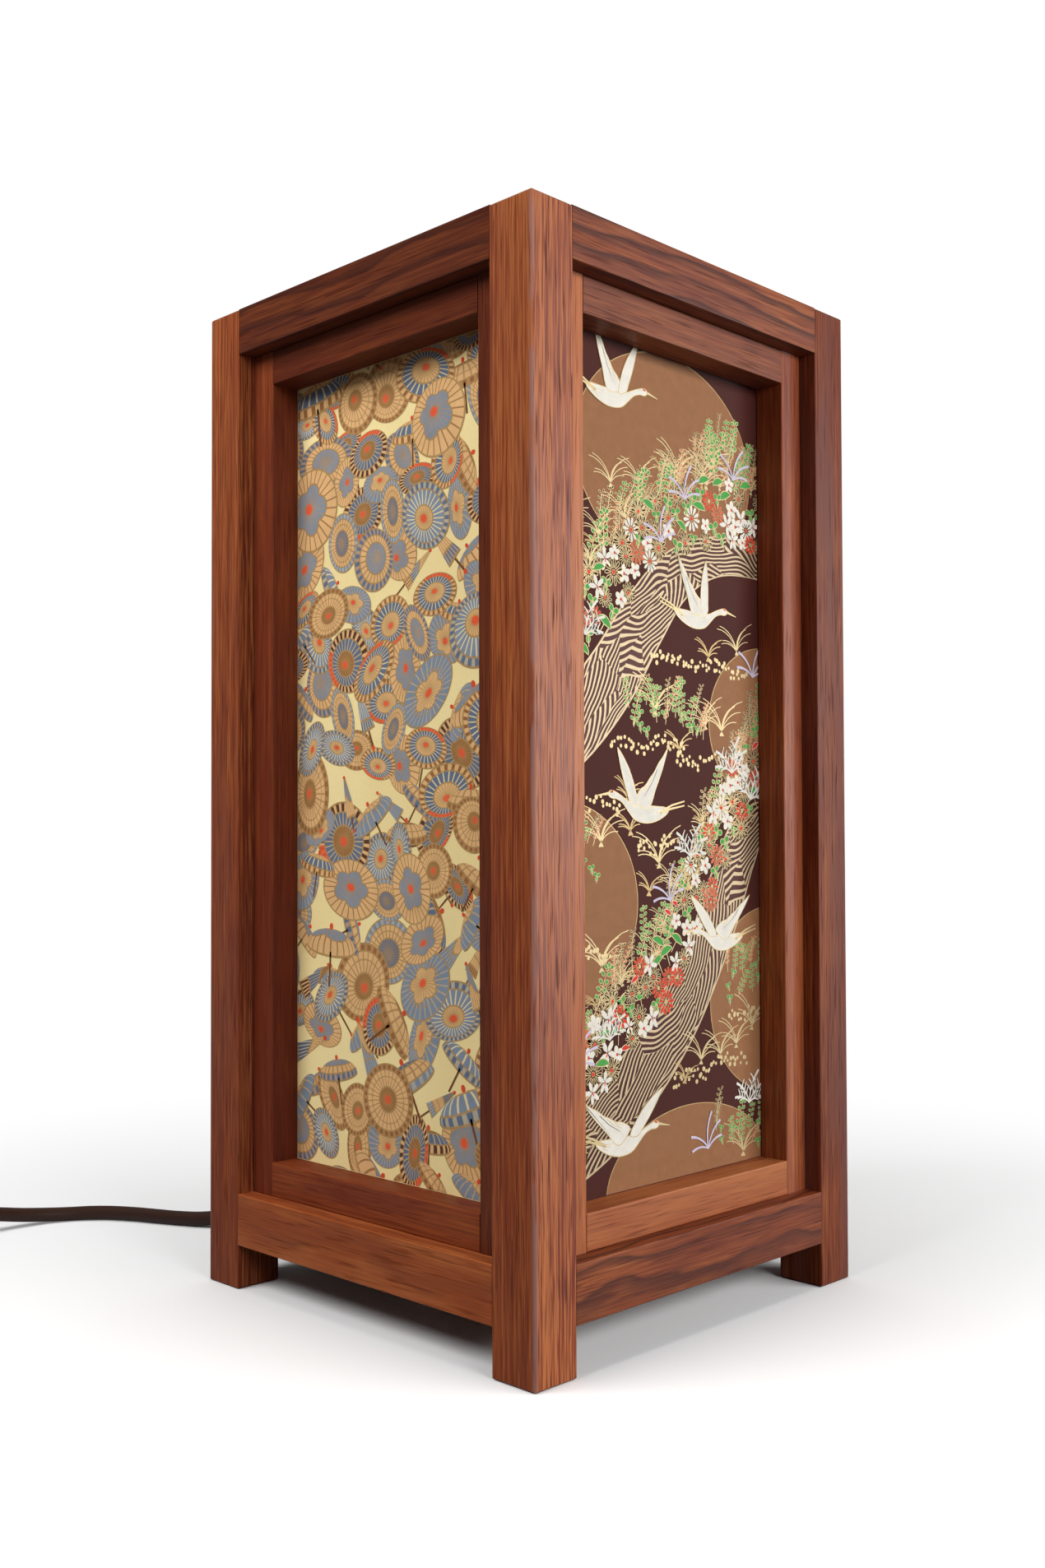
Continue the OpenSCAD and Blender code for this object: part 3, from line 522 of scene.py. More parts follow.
def motif_tree():
    """Tree that puts a motif on every point, by the point's turn, spread, pick and layer."""
    tree = new_tree("Printed motifs", [
        ("Motifs", "NodeSocketCollection"), ("Layer lift", "NodeSocketFloat"),
        ("Loose turn", "NodeSocketFloat"), ("Seed", "NodeSocketInt"), ("Ink", "NodeSocketMaterial"),
    ])
    net = Net(tree)
    source = net.node("NodeGroupInput").socket.node
    given = {socket.name: Value(net, socket) for socket in source.outputs}

    def read(name, kind):
        return net.node("GeometryNodeInputNamedAttribute", {"data_type": kind}, {"Name": name})

    rise = net.node("ShaderNodeCombineXYZ", inputs={2: read("layer", "FLOAT") * given["Layer lift"]})
    lifted = net.node("GeometryNodeSetPosition", inputs={"Geometry": given["Geometry"], "Offset": rise})
    loose = net.node(
        "FunctionNodeRandomValue", {"data_type": "FLOAT"},
        {2: -1.0, 3: 1.0, "Seed": given["Seed"]}, output=1,
    )
    turn = net.node("ShaderNodeCombineXYZ", inputs={2: read("turn", "FLOAT") + loose * given["Loose turn"]})
    motifs = net.node("GeometryNodeCollectionInfo", inputs={
        "Collection": given["Motifs"], "Separate Children": True, "Reset Children": True,
    })
    placed = net.node("GeometryNodeInstanceOnPoints", inputs={
        "Points": lifted, "Instance": motifs, "Pick Instance": True,
        "Instance Index": read("pick", "INT"), "Rotation": turn, "Scale": read("spread", "FLOAT_VECTOR"),
    })
    whole = net.node("GeometryNodeRealizeInstances", inputs={"Geometry": placed})
    inked = net.node("GeometryNodeSetMaterial", inputs={"Geometry": whole, "Material": given["Ink"]})
    end = tree.nodes.new("NodeGroupOutput")
    tree.links.new(inked.socket, end.inputs[0])
    return tree


def grown(base, tree, values):
    """Runs a geometry tree on an object and keeps the result as its plain mesh."""
    modifier = base.modifiers.new("Grow", "NODES")
    modifier.node_group = tree
    for name, value in values.items():
        modifier[socket_id(tree, name)] = value
    base.update_tag()
    bpy.context.view_layer.update()
    graph = bpy.context.evaluated_depsgraph_get()
    made = bpy.data.meshes.new_from_object(
        base.evaluated_get(graph), preserve_all_data_layers=True, depsgraph=graph
    )
    base.modifiers.clear()
    base.data = made
    return base


def add_object(name, data):
    made = bpy.data.objects.new(name, data)
    bpy.context.scene.collection.objects.link(made)
    return made


def printed(name, motifs, spots, ink, seed):
    """One mesh of motifs at spots of (u, v, turn, spread u, spread v, pick, layer, tone, lean)."""
    pile = bpy.data.collections.new(name + "_motifs")
    bpy.context.scene.collection.children.link(pile)
    helpers = []
    for i, (label, sheet) in enumerate(motifs):
        made = bpy.data.objects.new(f"{i:02d}_{label}", sheet.mesh(label))
        pile.objects.link(made)
        helpers.append(made)
    cloud = bpy.data.meshes.new(name)
    cloud.from_pydata([(s[0] * MM, s[1] * MM, 0.0) for s in spots], [], [])
    for label, column in (("turn", 2), ("layer", 6), ("tone", 7), ("lean", 8)):
        note(cloud, label, "FLOAT", [float(s[column]) for s in spots])
    note(cloud, "pick", "INT", [s[5] for s in spots])
    note(cloud, "spread", "FLOAT_VECTOR", [v for s in spots for v in (s[3], s[4], 1.0)])
    paper = bpy.context.scene.lamp_paper
    piece = grown(add_object(name, cloud), motif_tree(), {
        "Motifs": pile, "Layer lift": paper.lift, "Loose turn": 0.06, "Seed": seed, "Ink": ink,
    })
    for made in helpers:
        bpy.data.objects.remove(made)
    bpy.data.collections.remove(pile)
    return piece


def trimmed(piece):
    """Cuts a print off at the edges of the paper's opening."""
    work = bmesh.new()
    work.from_mesh(piece.data)
    for corner, way in (
        ((OPENING_HALF, 0), (1, 0)), ((-OPENING_HALF, 0), (-1, 0)),
        ((0, OPENING_HIGH), (0, 1)), ((0, OPENING_LOW), (0, -1)),
    ):
        bmesh.ops.bisect_plane(
            work, geom=work.verts[:] + work.edges[:] + work.faces[:], dist=1e-7,
            plane_co=(corner[0] * MM, corner[1] * MM, 0), plane_no=(*way, 0), clear_outer=True,
        )
    bmesh.ops.triangulate(work, faces=work.faces[:])
    work.to_mesh(piece.data)
    work.free()
    return piece


def stand_up(piece, side, lift):
    """Stands a print, drawn flat as seen from outside, in front of a side's paper."""
    upright = Matrix(((1, 0, 0, 0), (0, 0, -1, -(PAPER_PLANE + lift) * MM), (0, 1, 0, 0), (0, 0, 0, 1)))
    piece.data.transform(Matrix.Rotation(math.radians(SIDE_TURNS[side]), 4, "Z") @ upright)
    return piece


def layered(spots, motifs, share):
    """Gives every spot the lowest layer of its tier where no circle round a motif overlaps its own."""
    circles = []
    for _, sheet in motifs:
        us, vs = [p[0] for p in sheet.points], [p[1] for p in sheet.points]
        u, v = (min(us) + max(us)) / 2, (min(vs) + max(vs)) / 2
        circles.append((u, v, max(math.hypot(p[0] - u, p[1] - v) for p in sheet.points)))
    done, top = [], 0
    for tier in sorted({s[6] for s in spots}):
        discs = []
        for s in (s for s in spots if s[6] == tier):
            u, v, reach = circles[s[5]]
            u, v, reach = u * s[3], v * s[4], reach * max(s[3], s[4]) * share
            u, v = (s[0] + u * math.cos(s[2]) - v * math.sin(s[2]),
                    s[1] + u * math.sin(s[2]) + v * math.cos(s[2]))
            taken = {d[3] for d in discs if math.hypot(u - d[0], v - d[1]) < reach + d[2]}
            layer = top + 1
            while layer in taken:
                layer += 1
            done.append((*s[:6], layer, *s[7:]))
            discs.append((u, v, reach, layer))
        top = max(s[6] for s in done)
    return done


# ---- Parasol papers ----

RIBS = 28
PARASOL_TRIES = 5200
# Least distance between two parasols, as a share of their joint reach
CROWDING = 0.605
# Shares below which a draw gives an open parasol, and one seen from the side
OPEN_BELOW, SIDE_BELOW = 0.76, 0.92
STICK_SHARE = 0.14


def parasol_ink():
    """Ink of the parasols, from each one's own round coordinates and its tone."""
    bronze = bpy.context.scene.lamp_paper.bronze
    f = Finish("parasol_ink", Specular_IOR_Level=0.12)
    blue, slate, tan, brown, cream = (
        srgb(134, 147, 163), srgb(104, 117, 138), srgb(230, 184, 128), srgb(156, 106, 64), srgb(250, 226, 170)
    )
    umber, sand = srgb(158, 110, 68), srgb(214, 184, 132)
    soot = srgb(92, 60, 48)
    red = srgb(236, 96, 62)
    u, v, _ = f.parts(f.attribute("spot", "Vector"))
    tone = f.attribute("tone")
    lean = f.attribute("lean")
    v = v - lean
    far = (u ** 2.0 + v ** 2.0) ** 0.5 + 0.0001
    along = (v * lean) / far
    edge = (along ** 2.0 + 1.0 - lean ** 2.0) ** 0.5 - along
    rho = far / edge
    angle = v.angle(u) / (2 * math.pi) + 0.5

    def pick(shades):
        step = 1.0 / len(shades)
        return f.ramp(tone, [(i * step, shade) for i, shade in enumerate(shades)], "CONSTANT")

    inner_end = pick([0.36, 0.44, 0.4, 0.46, 0.34, 0.5, 0.4, 0.46])
    body_end = pick([0.78, 0.8, 0.74, 0.98, 0.82, 0.76, 0.98, 0.78])
    scallop = 1.0 + abs((angle * 5.0 * math.pi).sine()) * pick([0.0, 0.0, 0.0, 0.35, 0.0, 0.0, 0.4, 0.0])
    inner_end = inner_end * scallop
    cell = (angle * RIBS) % 1.0
    rib = 0.5 - abs(cell - 0.5)
    rib_line = 1.0 - f.step(rib * rho, 0.05, 0.1)
    dash = f.step(abs(cell - 0.5), 0.2, 0.26)
    body = pick([blue, tan, slate, tan, tan, tan, blue, slate])
    inner = pick([tan, slate, brown, blue, brown, blue, tan, tan])
    border = pick([slate, blue, soot, tan, brown, slate, blue, tan])
    dashes = pick([cream, cream, tan, cream, tan, tan, cream, brown])
    ribs = pick([cream, umber, sand, umber, umber, umber, sand, cream])
    tint = f.mix(rib_line * pick([0.85, 0.7, 0.8, 0.85, 0.6, 0.75, 0.75, 0.8]), body, ribs)
    ring_inner = 1.0 - f.step(rho - inner_end, -0.01, 0.01)
    tint = f.mix(ring_inner, tint, f.mix(rib_line * 0.6, inner, bronze))
    in_border = f.step(rho - body_end, -0.01, 0.01)
    blocks = (1.0 - dash) * pick([0.45, 0.3, 1.0, 0.0, 0.35, 0.5, 0.0, 1.0])
    tint = f.mix(in_border, tint, f.mix(blocks, border, dashes))
    arc_kinds = pick([0.0, 0.0, 1.0, 0.0, 0.0, 0.0, 0.0, 1.0])
    red_arc = in_border * f.step(angle, 0.55, 0.56) * (1.0 - f.step(angle, 0.82, 0.83)) * arc_kinds
    tint = f.mix(red_arc * 0.9, tint, red)
    lines = 1.0 - f.step(abs(rho - inner_end), 0.014, 0.034)
    lines = lines.larger(1.0 - f.step(abs(rho - body_end), 0.012, 0.03))
    middle_ring = 1.0 - f.step(abs(rho - 0.63), 0.01, 0.026)
    lines = lines.larger(middle_ring * pick([0.0, 0.9, 0.0, 0.0, 0.9, 0.0, 0.7, 0.0]))
    lines = lines.larger(f.step(rho, 0.94, 0.965))
    tint = f.mix(lines * 0.9, tint, bronze)
    star = 1.0 - f.step(rho - 0.1 - rib * 0.1, -0.01, 0.02)
    tint = f.mix(star * pick([1.0, 0.0, 0.9, 1.0, 0.8, 0.0, 1.0, 0.9]), tint, red)
    tint = f.mix(f.attribute("ink", "Alpha"), tint, f.attribute("ink", "Color"))
    wash = f.noise(f.place(), 130.0, 3.0) * 0.34 + f.noise(f.place(), 900.0, 2.0) * 0.16
    tint = f.shade(tint, 0.76 + wash)
    f.set("Base Color", tint)
    f.set("Roughness", 0.62 - lines * 0.15)
    f.set("Metallic", lines * 0.15)
    return f.material


def parasol_motifs():
    """Open parasol, one seen from the side, a closed one, and a stick."""
    inkless = (0.0, 0.0, 0.0, 0.0)
    brown = (*srgb(120, 78, 48), 1.0)
    red = (*srgb(222, 84, 52), 1.0)
    ring = [polar(1.0, 2 * math.pi * i / 44) for i in range(44)]
    open_one = Sheet()
    open_one.polygon(ring, inkless, ring)

    side = Sheet()
    side.stroke([(0.0, -0.6), (0.0, -1.5)], (0.07, 0.07), brown)
    columns, rows = 16, 6

    def on_dome(column, row):
        """Place on a dome seen from the side, and its place on the round canopy."""
        share, down = column / columns, row / rows * math.pi / 2
        x, drop = -math.cos(math.pi * share), 0.5 + 0.24 * math.sin(math.pi * share)
        turn = math.radians(200 + 140 * share)
        return (
            (x * math.sin(down), -drop * (1 - math.cos(down))),
            (math.cos(turn) * row / rows, math.sin(turn) * row / rows),
        )

    for column in range(columns):
        for row in range(rows):
            corners = [on_dome(column, row), on_dome(column, row + 1),
                       on_dome(column + 1, row + 1), on_dome(column + 1, row)]
            side.polygon([c[0] for c in corners], inkless, [c[1] for c in corners])
    side.level += 1
    side.polygon(oval(0.0, 0.06, 0.07, 0.09, 8), red)

    closed = Sheet()
    for i in range(6):
        a, b = -0.3 + 0.1 * i, -0.2 + 0.1 * i
        closed.polygon(
            [(a * 0.15, 1.0), (b * 0.15, 1.0), (b, -0.6), (a, -0.6)], inkless,
            [polar(0.05, 6 * a), polar(0.05, 6 * b), polar(1.0, 2 * b), polar(1.0, 2 * a)],
        )
    closed.stroke([(0.0, -0.6), (0.0, -1.15)], (0.07, 0.07), brown)
    closed.level += 1
    closed.polygon(oval(0.0, -1.15, 0.07, 0.08, 8), red)
    closed.polygon(oval(0.0, 1.0, 0.07, 0.07, 8), red)

    stick = Sheet()
    stick.stroke([(0.0, 0.0), (0.0, 1.0)], (0.055, 0.045), brown)
    stick.level += 1
    stick.polygon(oval(0.0, 1.0, 0.05, 0.06, 8), red)
    return [("open", open_one), ("side", side), ("closed", closed), ("stick", stick)]


def parasol_spots(motifs, seed):
    """Crowded parasols of mixed sizes, tilts and tones."""
    mean = bpy.context.scene.lamp_paper.parasol_size / MM
    dice = random.Random(seed)
    spots = []
    for _ in range(PARASOL_TRIES):
        size = mean * dice.uniform(0.74, 1.28)
        u = dice.uniform(-OPENING_HALF - 8, OPENING_HALF + 8)
        v = dice.uniform(OPENING_LOW - 8, OPENING_HIGH + 8)
        kind = dice.random()
        is_open = kind < OPEN_BELOW
        squash = dice.uniform(0.52, 0.98) if is_open else 1.0
        reach = size * (0.5 + 0.5 * squash) * (1.0 if is_open else 0.75)
        if any(math.hypot(u - s[0], v - s[1]) < CROWDING * (reach + s[9]) for s in spots):
            continue
        pick = 0 if is_open else (1 if kind < SIDE_BELOW else 2)
        turn = dice.uniform(-math.pi, math.pi) if is_open else dice.uniform(-1.2, 1.2)
        tone, lean = dice.randrange(8) / 8 + 0.06, dice.uniform(0.0, 0.36)
        spots.append((u, v, turn, size, size * squash, pick, 1, tone, lean, reach))
    dice.shuffle(spots)
    sticks = []
    for s in spots:
        if s[5] == 0 and dice.random() < STICK_SHARE:
            sticks.append((s[0], s[1], s[2] + math.pi, s[3] * 1.5, s[3] * 1.5, 3, 0, 0.5, 0.0, s[3]))
    return layered(sticks + spots, motifs, 1.0)


def parasol_ground():
    """Cream paper with short fibres."""
    paper = bpy.context.scene.lamp_paper
    f = Finish("parasol_ground", Specular_IOR_Level=0.12)
    x, y, z = f.parts(f.place())
    fibres = f.step(f.noise(f.join(x, y, z * 0.3), 1600.0, 2.0), 0.56, 0.7)
    wash = f.noise(f.place(), 22.0, 3.0)
    face = f.mix(f.step(wash, 0.4, 0.65) * 0.25, paper.cream, srgb(238, 208, 142))
    outside = f.step(abs(x).larger(abs(y)), *BACKING)
    f.set("Base Color", f.shade(f.mix(outside, paper.backing, face), 1.0 - fibres * 0.05))
    f.set("Roughness", 0.78 - fibres * 0.1)
    f.bump(fibres, 0.2, 0.00005)
    return f.material


# ---- Crane papers ----

# Width of a bundle of waves, distance between two waves, and height of a river over the sheet, in millimetres
BUNDLE_WIDTH = 12.0
WAVE_PITCH = 1.5
RIVER_HEIGHT = 0.045
# Scale of the pattern along the river, which makes a bundle longer than it is wide
BUNDLE_STRETCH = 0.45
# Outlines of petals, as distances from the flower's middle and turns from the petal's own line
MUM_PETAL = ((1.3, -0.16), (3.2, -0.21), (4.3, -0.1), (4.3, 0.1), (3.2, 0.21), (1.3, 0.16))
LILY_PETAL = ((1.9, -0.5), (3.6, -0.24), (4.6, 0.0), (3.6, 0.24), (1.9, 0.5))


def crane_inks():
    """Inks by name. The fourth value is 1 for those with gold."""
    paper = bpy.context.scene.lamp_paper
    plain = {
        "white": srgb(218, 213, 202), "lilac": srgb(194, 184, 202), "green": srgb(74, 150, 74),
        "red": srgb(206, 58, 40), "salmon": srgb(198, 98, 72), "black": srgb(40, 26, 22), "hill": paper.hill,
    }
    golden = {"gold": paper.gold, "old_gold": srgb(168, 142, 98)}
    return {
        label: (*shade, gold) for gold, inks in enumerate((plain, golden)) for label, shade in inks.items()
    }


def flying_crane(ink, wing_turn, far_turn, faces_left):
    """White crane in flight, in gold outline, about 40 mm long."""
    sheet = Sheet()
    gold = ink["gold"]
    way = -1 if faces_left else 1

    def moved(points, turn=0.0, about=(0.0, 0.0)):
        result = []
        for x, y in points:
            dx, dy = x - about[0], y - about[1]
            x = about[0] + dx * math.cos(turn) - dy * math.sin(turn)
            y = about[1] + dx * math.sin(turn) + dy * math.cos(turn)
            result.append((x * way, y))
        return result

    for rise in (0.0, 1.1):
        sheet.stroke(moved([(-9, -1), (-15, 0.6 + rise), (-21.5, 2.0 + 1.3 * rise)]), (0.9, 0.45), gold)
    far_wing = [(1.8, 0.4), (3.4, 7), (6.6, 13.4), (11.2, 18.8), (10.6, 14.8), (9.6, 11.2), (8.4, 7.6),
                (7.0, 4.2), (5.6, 1.2)]
    near_wing = [(-3.4, 0.2), (-6.2, 7.4), (-8.6, 14.2), (-10.2, 21.2), (-7.8, 17.8), (-6.0, 15.4),
                 (-4.4, 12.4), (-2.6, 10.2), (-0.6, 7.4), (1.8, 5.4), (3.6, 1.4)]
    body = [(-13.5, -0.6), (-9, -3.4), (-3, -4.9), (3, -4.2), (6.6, -1.6), (9.4, 0.8), (12.2, 1.9),
            (14.6, 2.0), (16.2, 2.9), (15.9, 4.2), (14.2, 4.6), (11.4, 3.8), (8.4, 2.6), (5.4, 1.4),
            (1, 1.2), (-4, 1.0), (-8.6, 1.0), (-11.8, 0.9)]
    for shape, turn, about, steps in (
        (far_wing, far_turn, (4, 0), 4), (body, 0.0, (0, 0), 3), (near_wing, wing_turn, (0, 0), 4),
    ):
        sheet.outlined(smooth_line(moved(shape, turn, about), steps, True), ink["white"], gold, 0.3)
    sheet.stroke(moved([(15.8, 3.5), (21.4, 2.5)]), (1.0, 0.25), gold)
    sheet.stroke(moved([(14.0, 4.3), (15.4, 3.9)]), (0.8, 0.5), ink["salmon"])
    for k in range(5):
        tip = (-8.1 + 2.2 * k, 16.2 - 2.8 * k)
        root = (-1.6 + 1.1 * k, 3.0 + 0.5 * k)
        halfway = ((root[0] + tip[0]) / 2 - 0.6, (root[1] + tip[1]) / 2)
        sheet.stroke(moved([root, halfway, tip], wing_turn), (0.12, 0.24), gold)
    for k in range(3):
        sheet.stroke(moved([(-5.5 - 1.2 * k, -0.6 - 0.9 * k), (-10.8, -0.4 - 0.5 * k)]), (0.12, 0.22), gold)
    return sheet


def crane_motifs(ink):
    """Motifs of the crane papers, in the order of their pick numbers."""
    motifs = []
    gold, white, green = ink["gold"], ink["white"], ink["green"]

    def add(label):
        sheet = Sheet()
        motifs.append((label, sheet))
        return sheet

    def fan(width, height):
        angles = [math.radians(10 + 20 * k) for k in range(9)]
        return [(0, 0)] + [(width * math.cos(a), height * math.sin(a)) for a in angles]

    for label, petal, rim in (
        ("red_mum", "red", 0.07), ("salmon_mum", "salmon", 0.07), ("white_mum", "white", 0.07),
        ("gold_mum", "black", 0.26),
    ):
        mum = add(label)
        for k in range(11):
            a = 2 * math.pi * k / 11
            mum.outlined([polar(reach, a + turn) for reach, turn in MUM_PETAL], ink[petal], gold, rim)
        mum.outlined(oval(0, 0, 0.9, 0.9, 8), ink["red" if petal != "red" else "old_gold"], gold, 0.15)

    blossom = add("white_blossom")
    for k in range(5):
        a = 2 * math.pi * k / 5 + 0.3
        blossom.outlined(oval(*polar(1.85, a), 1.6, 1.2, 9, a), white, gold, 0.12)
    blossom.level += 1
    blossom.polygon(oval(0, 0, 0.65, 0.65, 7), ink["red"])

    lily = add("white_lily")
    for k, a in enumerate((0.35, 1.5, 2.7, 4.3, 5.2)):
        petal = [(0, 0)] + [polar(reach, a + turn) for reach, turn in LILY_PETAL]
        lily.outlined(petal, white, gold if k % 2 else white, 0.12)
    lily.stroke([(0, 0.6), (0.3, -1.4)], (0.7, 0.4), ink["red"])

    clover = add("clover")
    clover.stroke([(0, 0), (0.3, -4.0)], (0.35, 0.3), gold)
    for k in range(3):
        a = 2 * math.pi * k / 3 + 0.5
        clover.outlined(oval(*polar(1.5, a), 1.4, 1.15, 8, a), green, gold, 0.2)

    fan_leaf = add("fan_leaf")
    fan_leaf.stroke([(0, 0), (-0.3, -4.5)], (0.35, 0.3), gold)
    fan_leaf.outlined(fan(3.8, 3.2), green, gold, 0.3)
    add("red_fan").outlined(fan(2.6, 2.1), ink["red"], white, 0.22)

    # Stem's slant, length, droop, steps, width and first leafy point, then the leaves' ink, place, size,
    # corners, slant and rim
    for label, slant, length, droop, steps, thick, first, shade, du, dv, ru, rv, sides, lean, rim in (
        ("sprig", 84, 15, 0.35, 5, 0.45, 1, "green", 1.7, 0.5, 1.3, 0.95, 8, 0.5, 0.26),
        ("gold_sprig", 80, 17, 0.4, 7, 0.45, 2, "black", 1.2, 0.6, 1.0, 0.55, 7, 0.7, 0.24),
        ("red_sprig", 76, 15, 0.3, 7, 0.4, 2, "salmon", 0.95, 0.4, 0.85, 0.6, 7, 0.7, 0.2),
    ):
        sprig = add(label)
        stem = arc((0, 0), math.radians(slant), length, droop, steps)
        sprig.stroke(stem, (thick, 0.3), gold)
        for x, y in stem[first:]:
            for way in (-1, 1):
                sprig.outlined(oval(x + way * du, y + dv, ru, rv, sides, way * lean), ink[shade], gold, rim)
        if label == "sprig":
            sprig.outlined(oval(stem[-1][0], stem[-1][1] + 1.2, 0.9, 1.2, 8), green, gold, rim)

    for label, shade, thick, reach in (
        ("gold_grass", "gold", 0.42, 18.0), ("short_gold_grass", "old_gold", 0.45, 11.0),
    ):
        grass = add(label)
        for k in range(9):
            blade = arc((0.25 * (k - 4), 0), math.radians(56 + 8.5 * k),
                        reach * (0.6 + 0.4 * math.sin(k * 2.3) ** 2), 1.25, 6)
            grass.stroke(blade, (thick, 0.28), ink[shade])

    for label, shade in (("lilac_grass", "lilac"), ("white_fern", "white")):
        fern = add(label)
        for tilt, reach in ((35, 9), (62, 12), (90, 13.5), (118, 11.5), (146, 9.5)):
            blade = arc((0, 0), math.radians(tilt), reach, 0.9, 6)
            fern.stroke(blade, (0.55, 0.95), ink[shade])
            if label == "white_fern":
                for point in blade[2:5]:
                    for lean in (38, -38):
                        side = arc(point, math.radians(tilt + lean), 3.2, 0.5, 2)
                        fern.stroke(side, (0.7, 0.35), white)

    add("gold_blob").polygon(oval(0, 0, 0.85, 0.9, 8), gold)

    for label, turn, far_turn, left in (
        ("crane_right", 0.0, 0.0, False), ("crane_low_wings", 0.55, -0.38, False),
        ("crane_left", 0.1, -0.07, True), ("crane_high_wings", 0.12, 0.4, False),
        ("crane_left_low", 0.45, -0.3, True),
    ):
        motifs.append((label, flying_crane(ink, turn, far_turn, left)))
    return motifs


# Hills as ovals, rivers as points with half a width, thickets with half a width, and banks with half a width
# and the least distance between their flowers
HILLS = [(2, 314, 51, 40), (62, 219, 36, 31), (-56, 152, 40, 36), (64, 112, 38, 36), (14, 48, 48, 28)]
RIVERS = [
    [(80, 280, 6), (52, 284, 7), (28, 282, 8), (6, 272, 10), (-12, 254, 12), (-30, 232, 13), (-52, 212, 13),
     (-80, 196, 13)],
    [(80, 196, 8), (58, 186, 9), (45, 170, 11), (34, 150, 12), (21, 128, 12), (5, 108, 13), (-14, 90, 13),
     (-36, 75, 13), (-60, 64, 12), (-80, 56, 12)],
]
BANKS = [
    ([(-62, 240), (-44, 254), (-26, 272), (-6, 288), (18, 298), (40, 301), (62, 300)], 11, 4.9),
    ([(62, 210), (50, 198), (38, 184), (26, 166), (12, 146), (-4, 126), (-22, 110), (-42, 97), (-62, 88)],
     12, 4.9),
]
THICKETS = [
    ([(-20, 220), (2, 223), (22, 219)], 5), ([(36, 122), (60, 124)], 6), ([(-58, 168), (-40, 172)], 8),
    ([(30, 66), (58, 62)], 5), ([(20, 322), (44, 330)], 5),
]
CRANES = [
    (-28, 334, "crane_right", 1.12), (20, 259, "crane_high_wings", 1.08), (-14, 186, "crane_left", 1.14),
    (32, 137, "crane_left_low", 1.06), (-24, 68, "crane_low_wings", 1.16),
]
DOT_STRINGS = [
    ((-8, 242), (52, 240)), ((-57, 190), (-24, 187)), ((6, 204), (40, 206)), ((-30, 209), (12, 211)),
    ((4, 86), (50, 92)), ((38, 106), (57, 108)), ((-57, 138), (-30, 134)), ((-16, 172), (10, 174)),
]
GOLD, SHORT, LILAC, FERN = "gold_grass", "short_gold_grass", "lilac_grass", "white_fern"
TUFTS = [
    (34, 214, GOLD), (24, 216, GOLD), (-36, 172, GOLD), (-48, 178, SHORT), (20, 90, GOLD), (32, 91, GOLD),
    (42, 94, GOLD), (-20, 176, SHORT), (46, 176, SHORT), (8, 308, GOLD), (-30, 300, GOLD), (42, 314, LILAC),
    (12, 302, LILAC), (-44, 246, FERN), (-2, 284, LILAC), (52, 190, FERN), (40, 200, FERN), (14, 168, FERN),
    (2, 152, LILAC), (-32, 104, FERN), (-50, 96, LILAC), (50, 72, FERN), (24, 58, LILAC), (28, 314, GOLD),
    (-14, 302, GOLD), (48, 128, SHORT), (-52, 282, GOLD), (54, 238, LILAC), (-6, 220, GOLD), (8, 206, SHORT),
    (-22, 188, SHORT), (-4, 164, GOLD), (10, 84, SHORT), (52, 100, GOLD), (-36, 128, GOLD), (-10, 154, SHORT),
    (44, 246, GOLD), (26, 242, SHORT), (-52, 62, GOLD), (46, 52, GOLD),
]
FLOWERS = {
    "red_mum": 10, "salmon_mum": 3, "white_mum": 4, "gold_mum": 20, "white_blossom": 16, "white_lily": 16,
    "clover": 15, "fan_leaf": 14, "red_fan": 6,
}
BLOB_SPACING = 1.7
FLOWER_TRIES = 2600


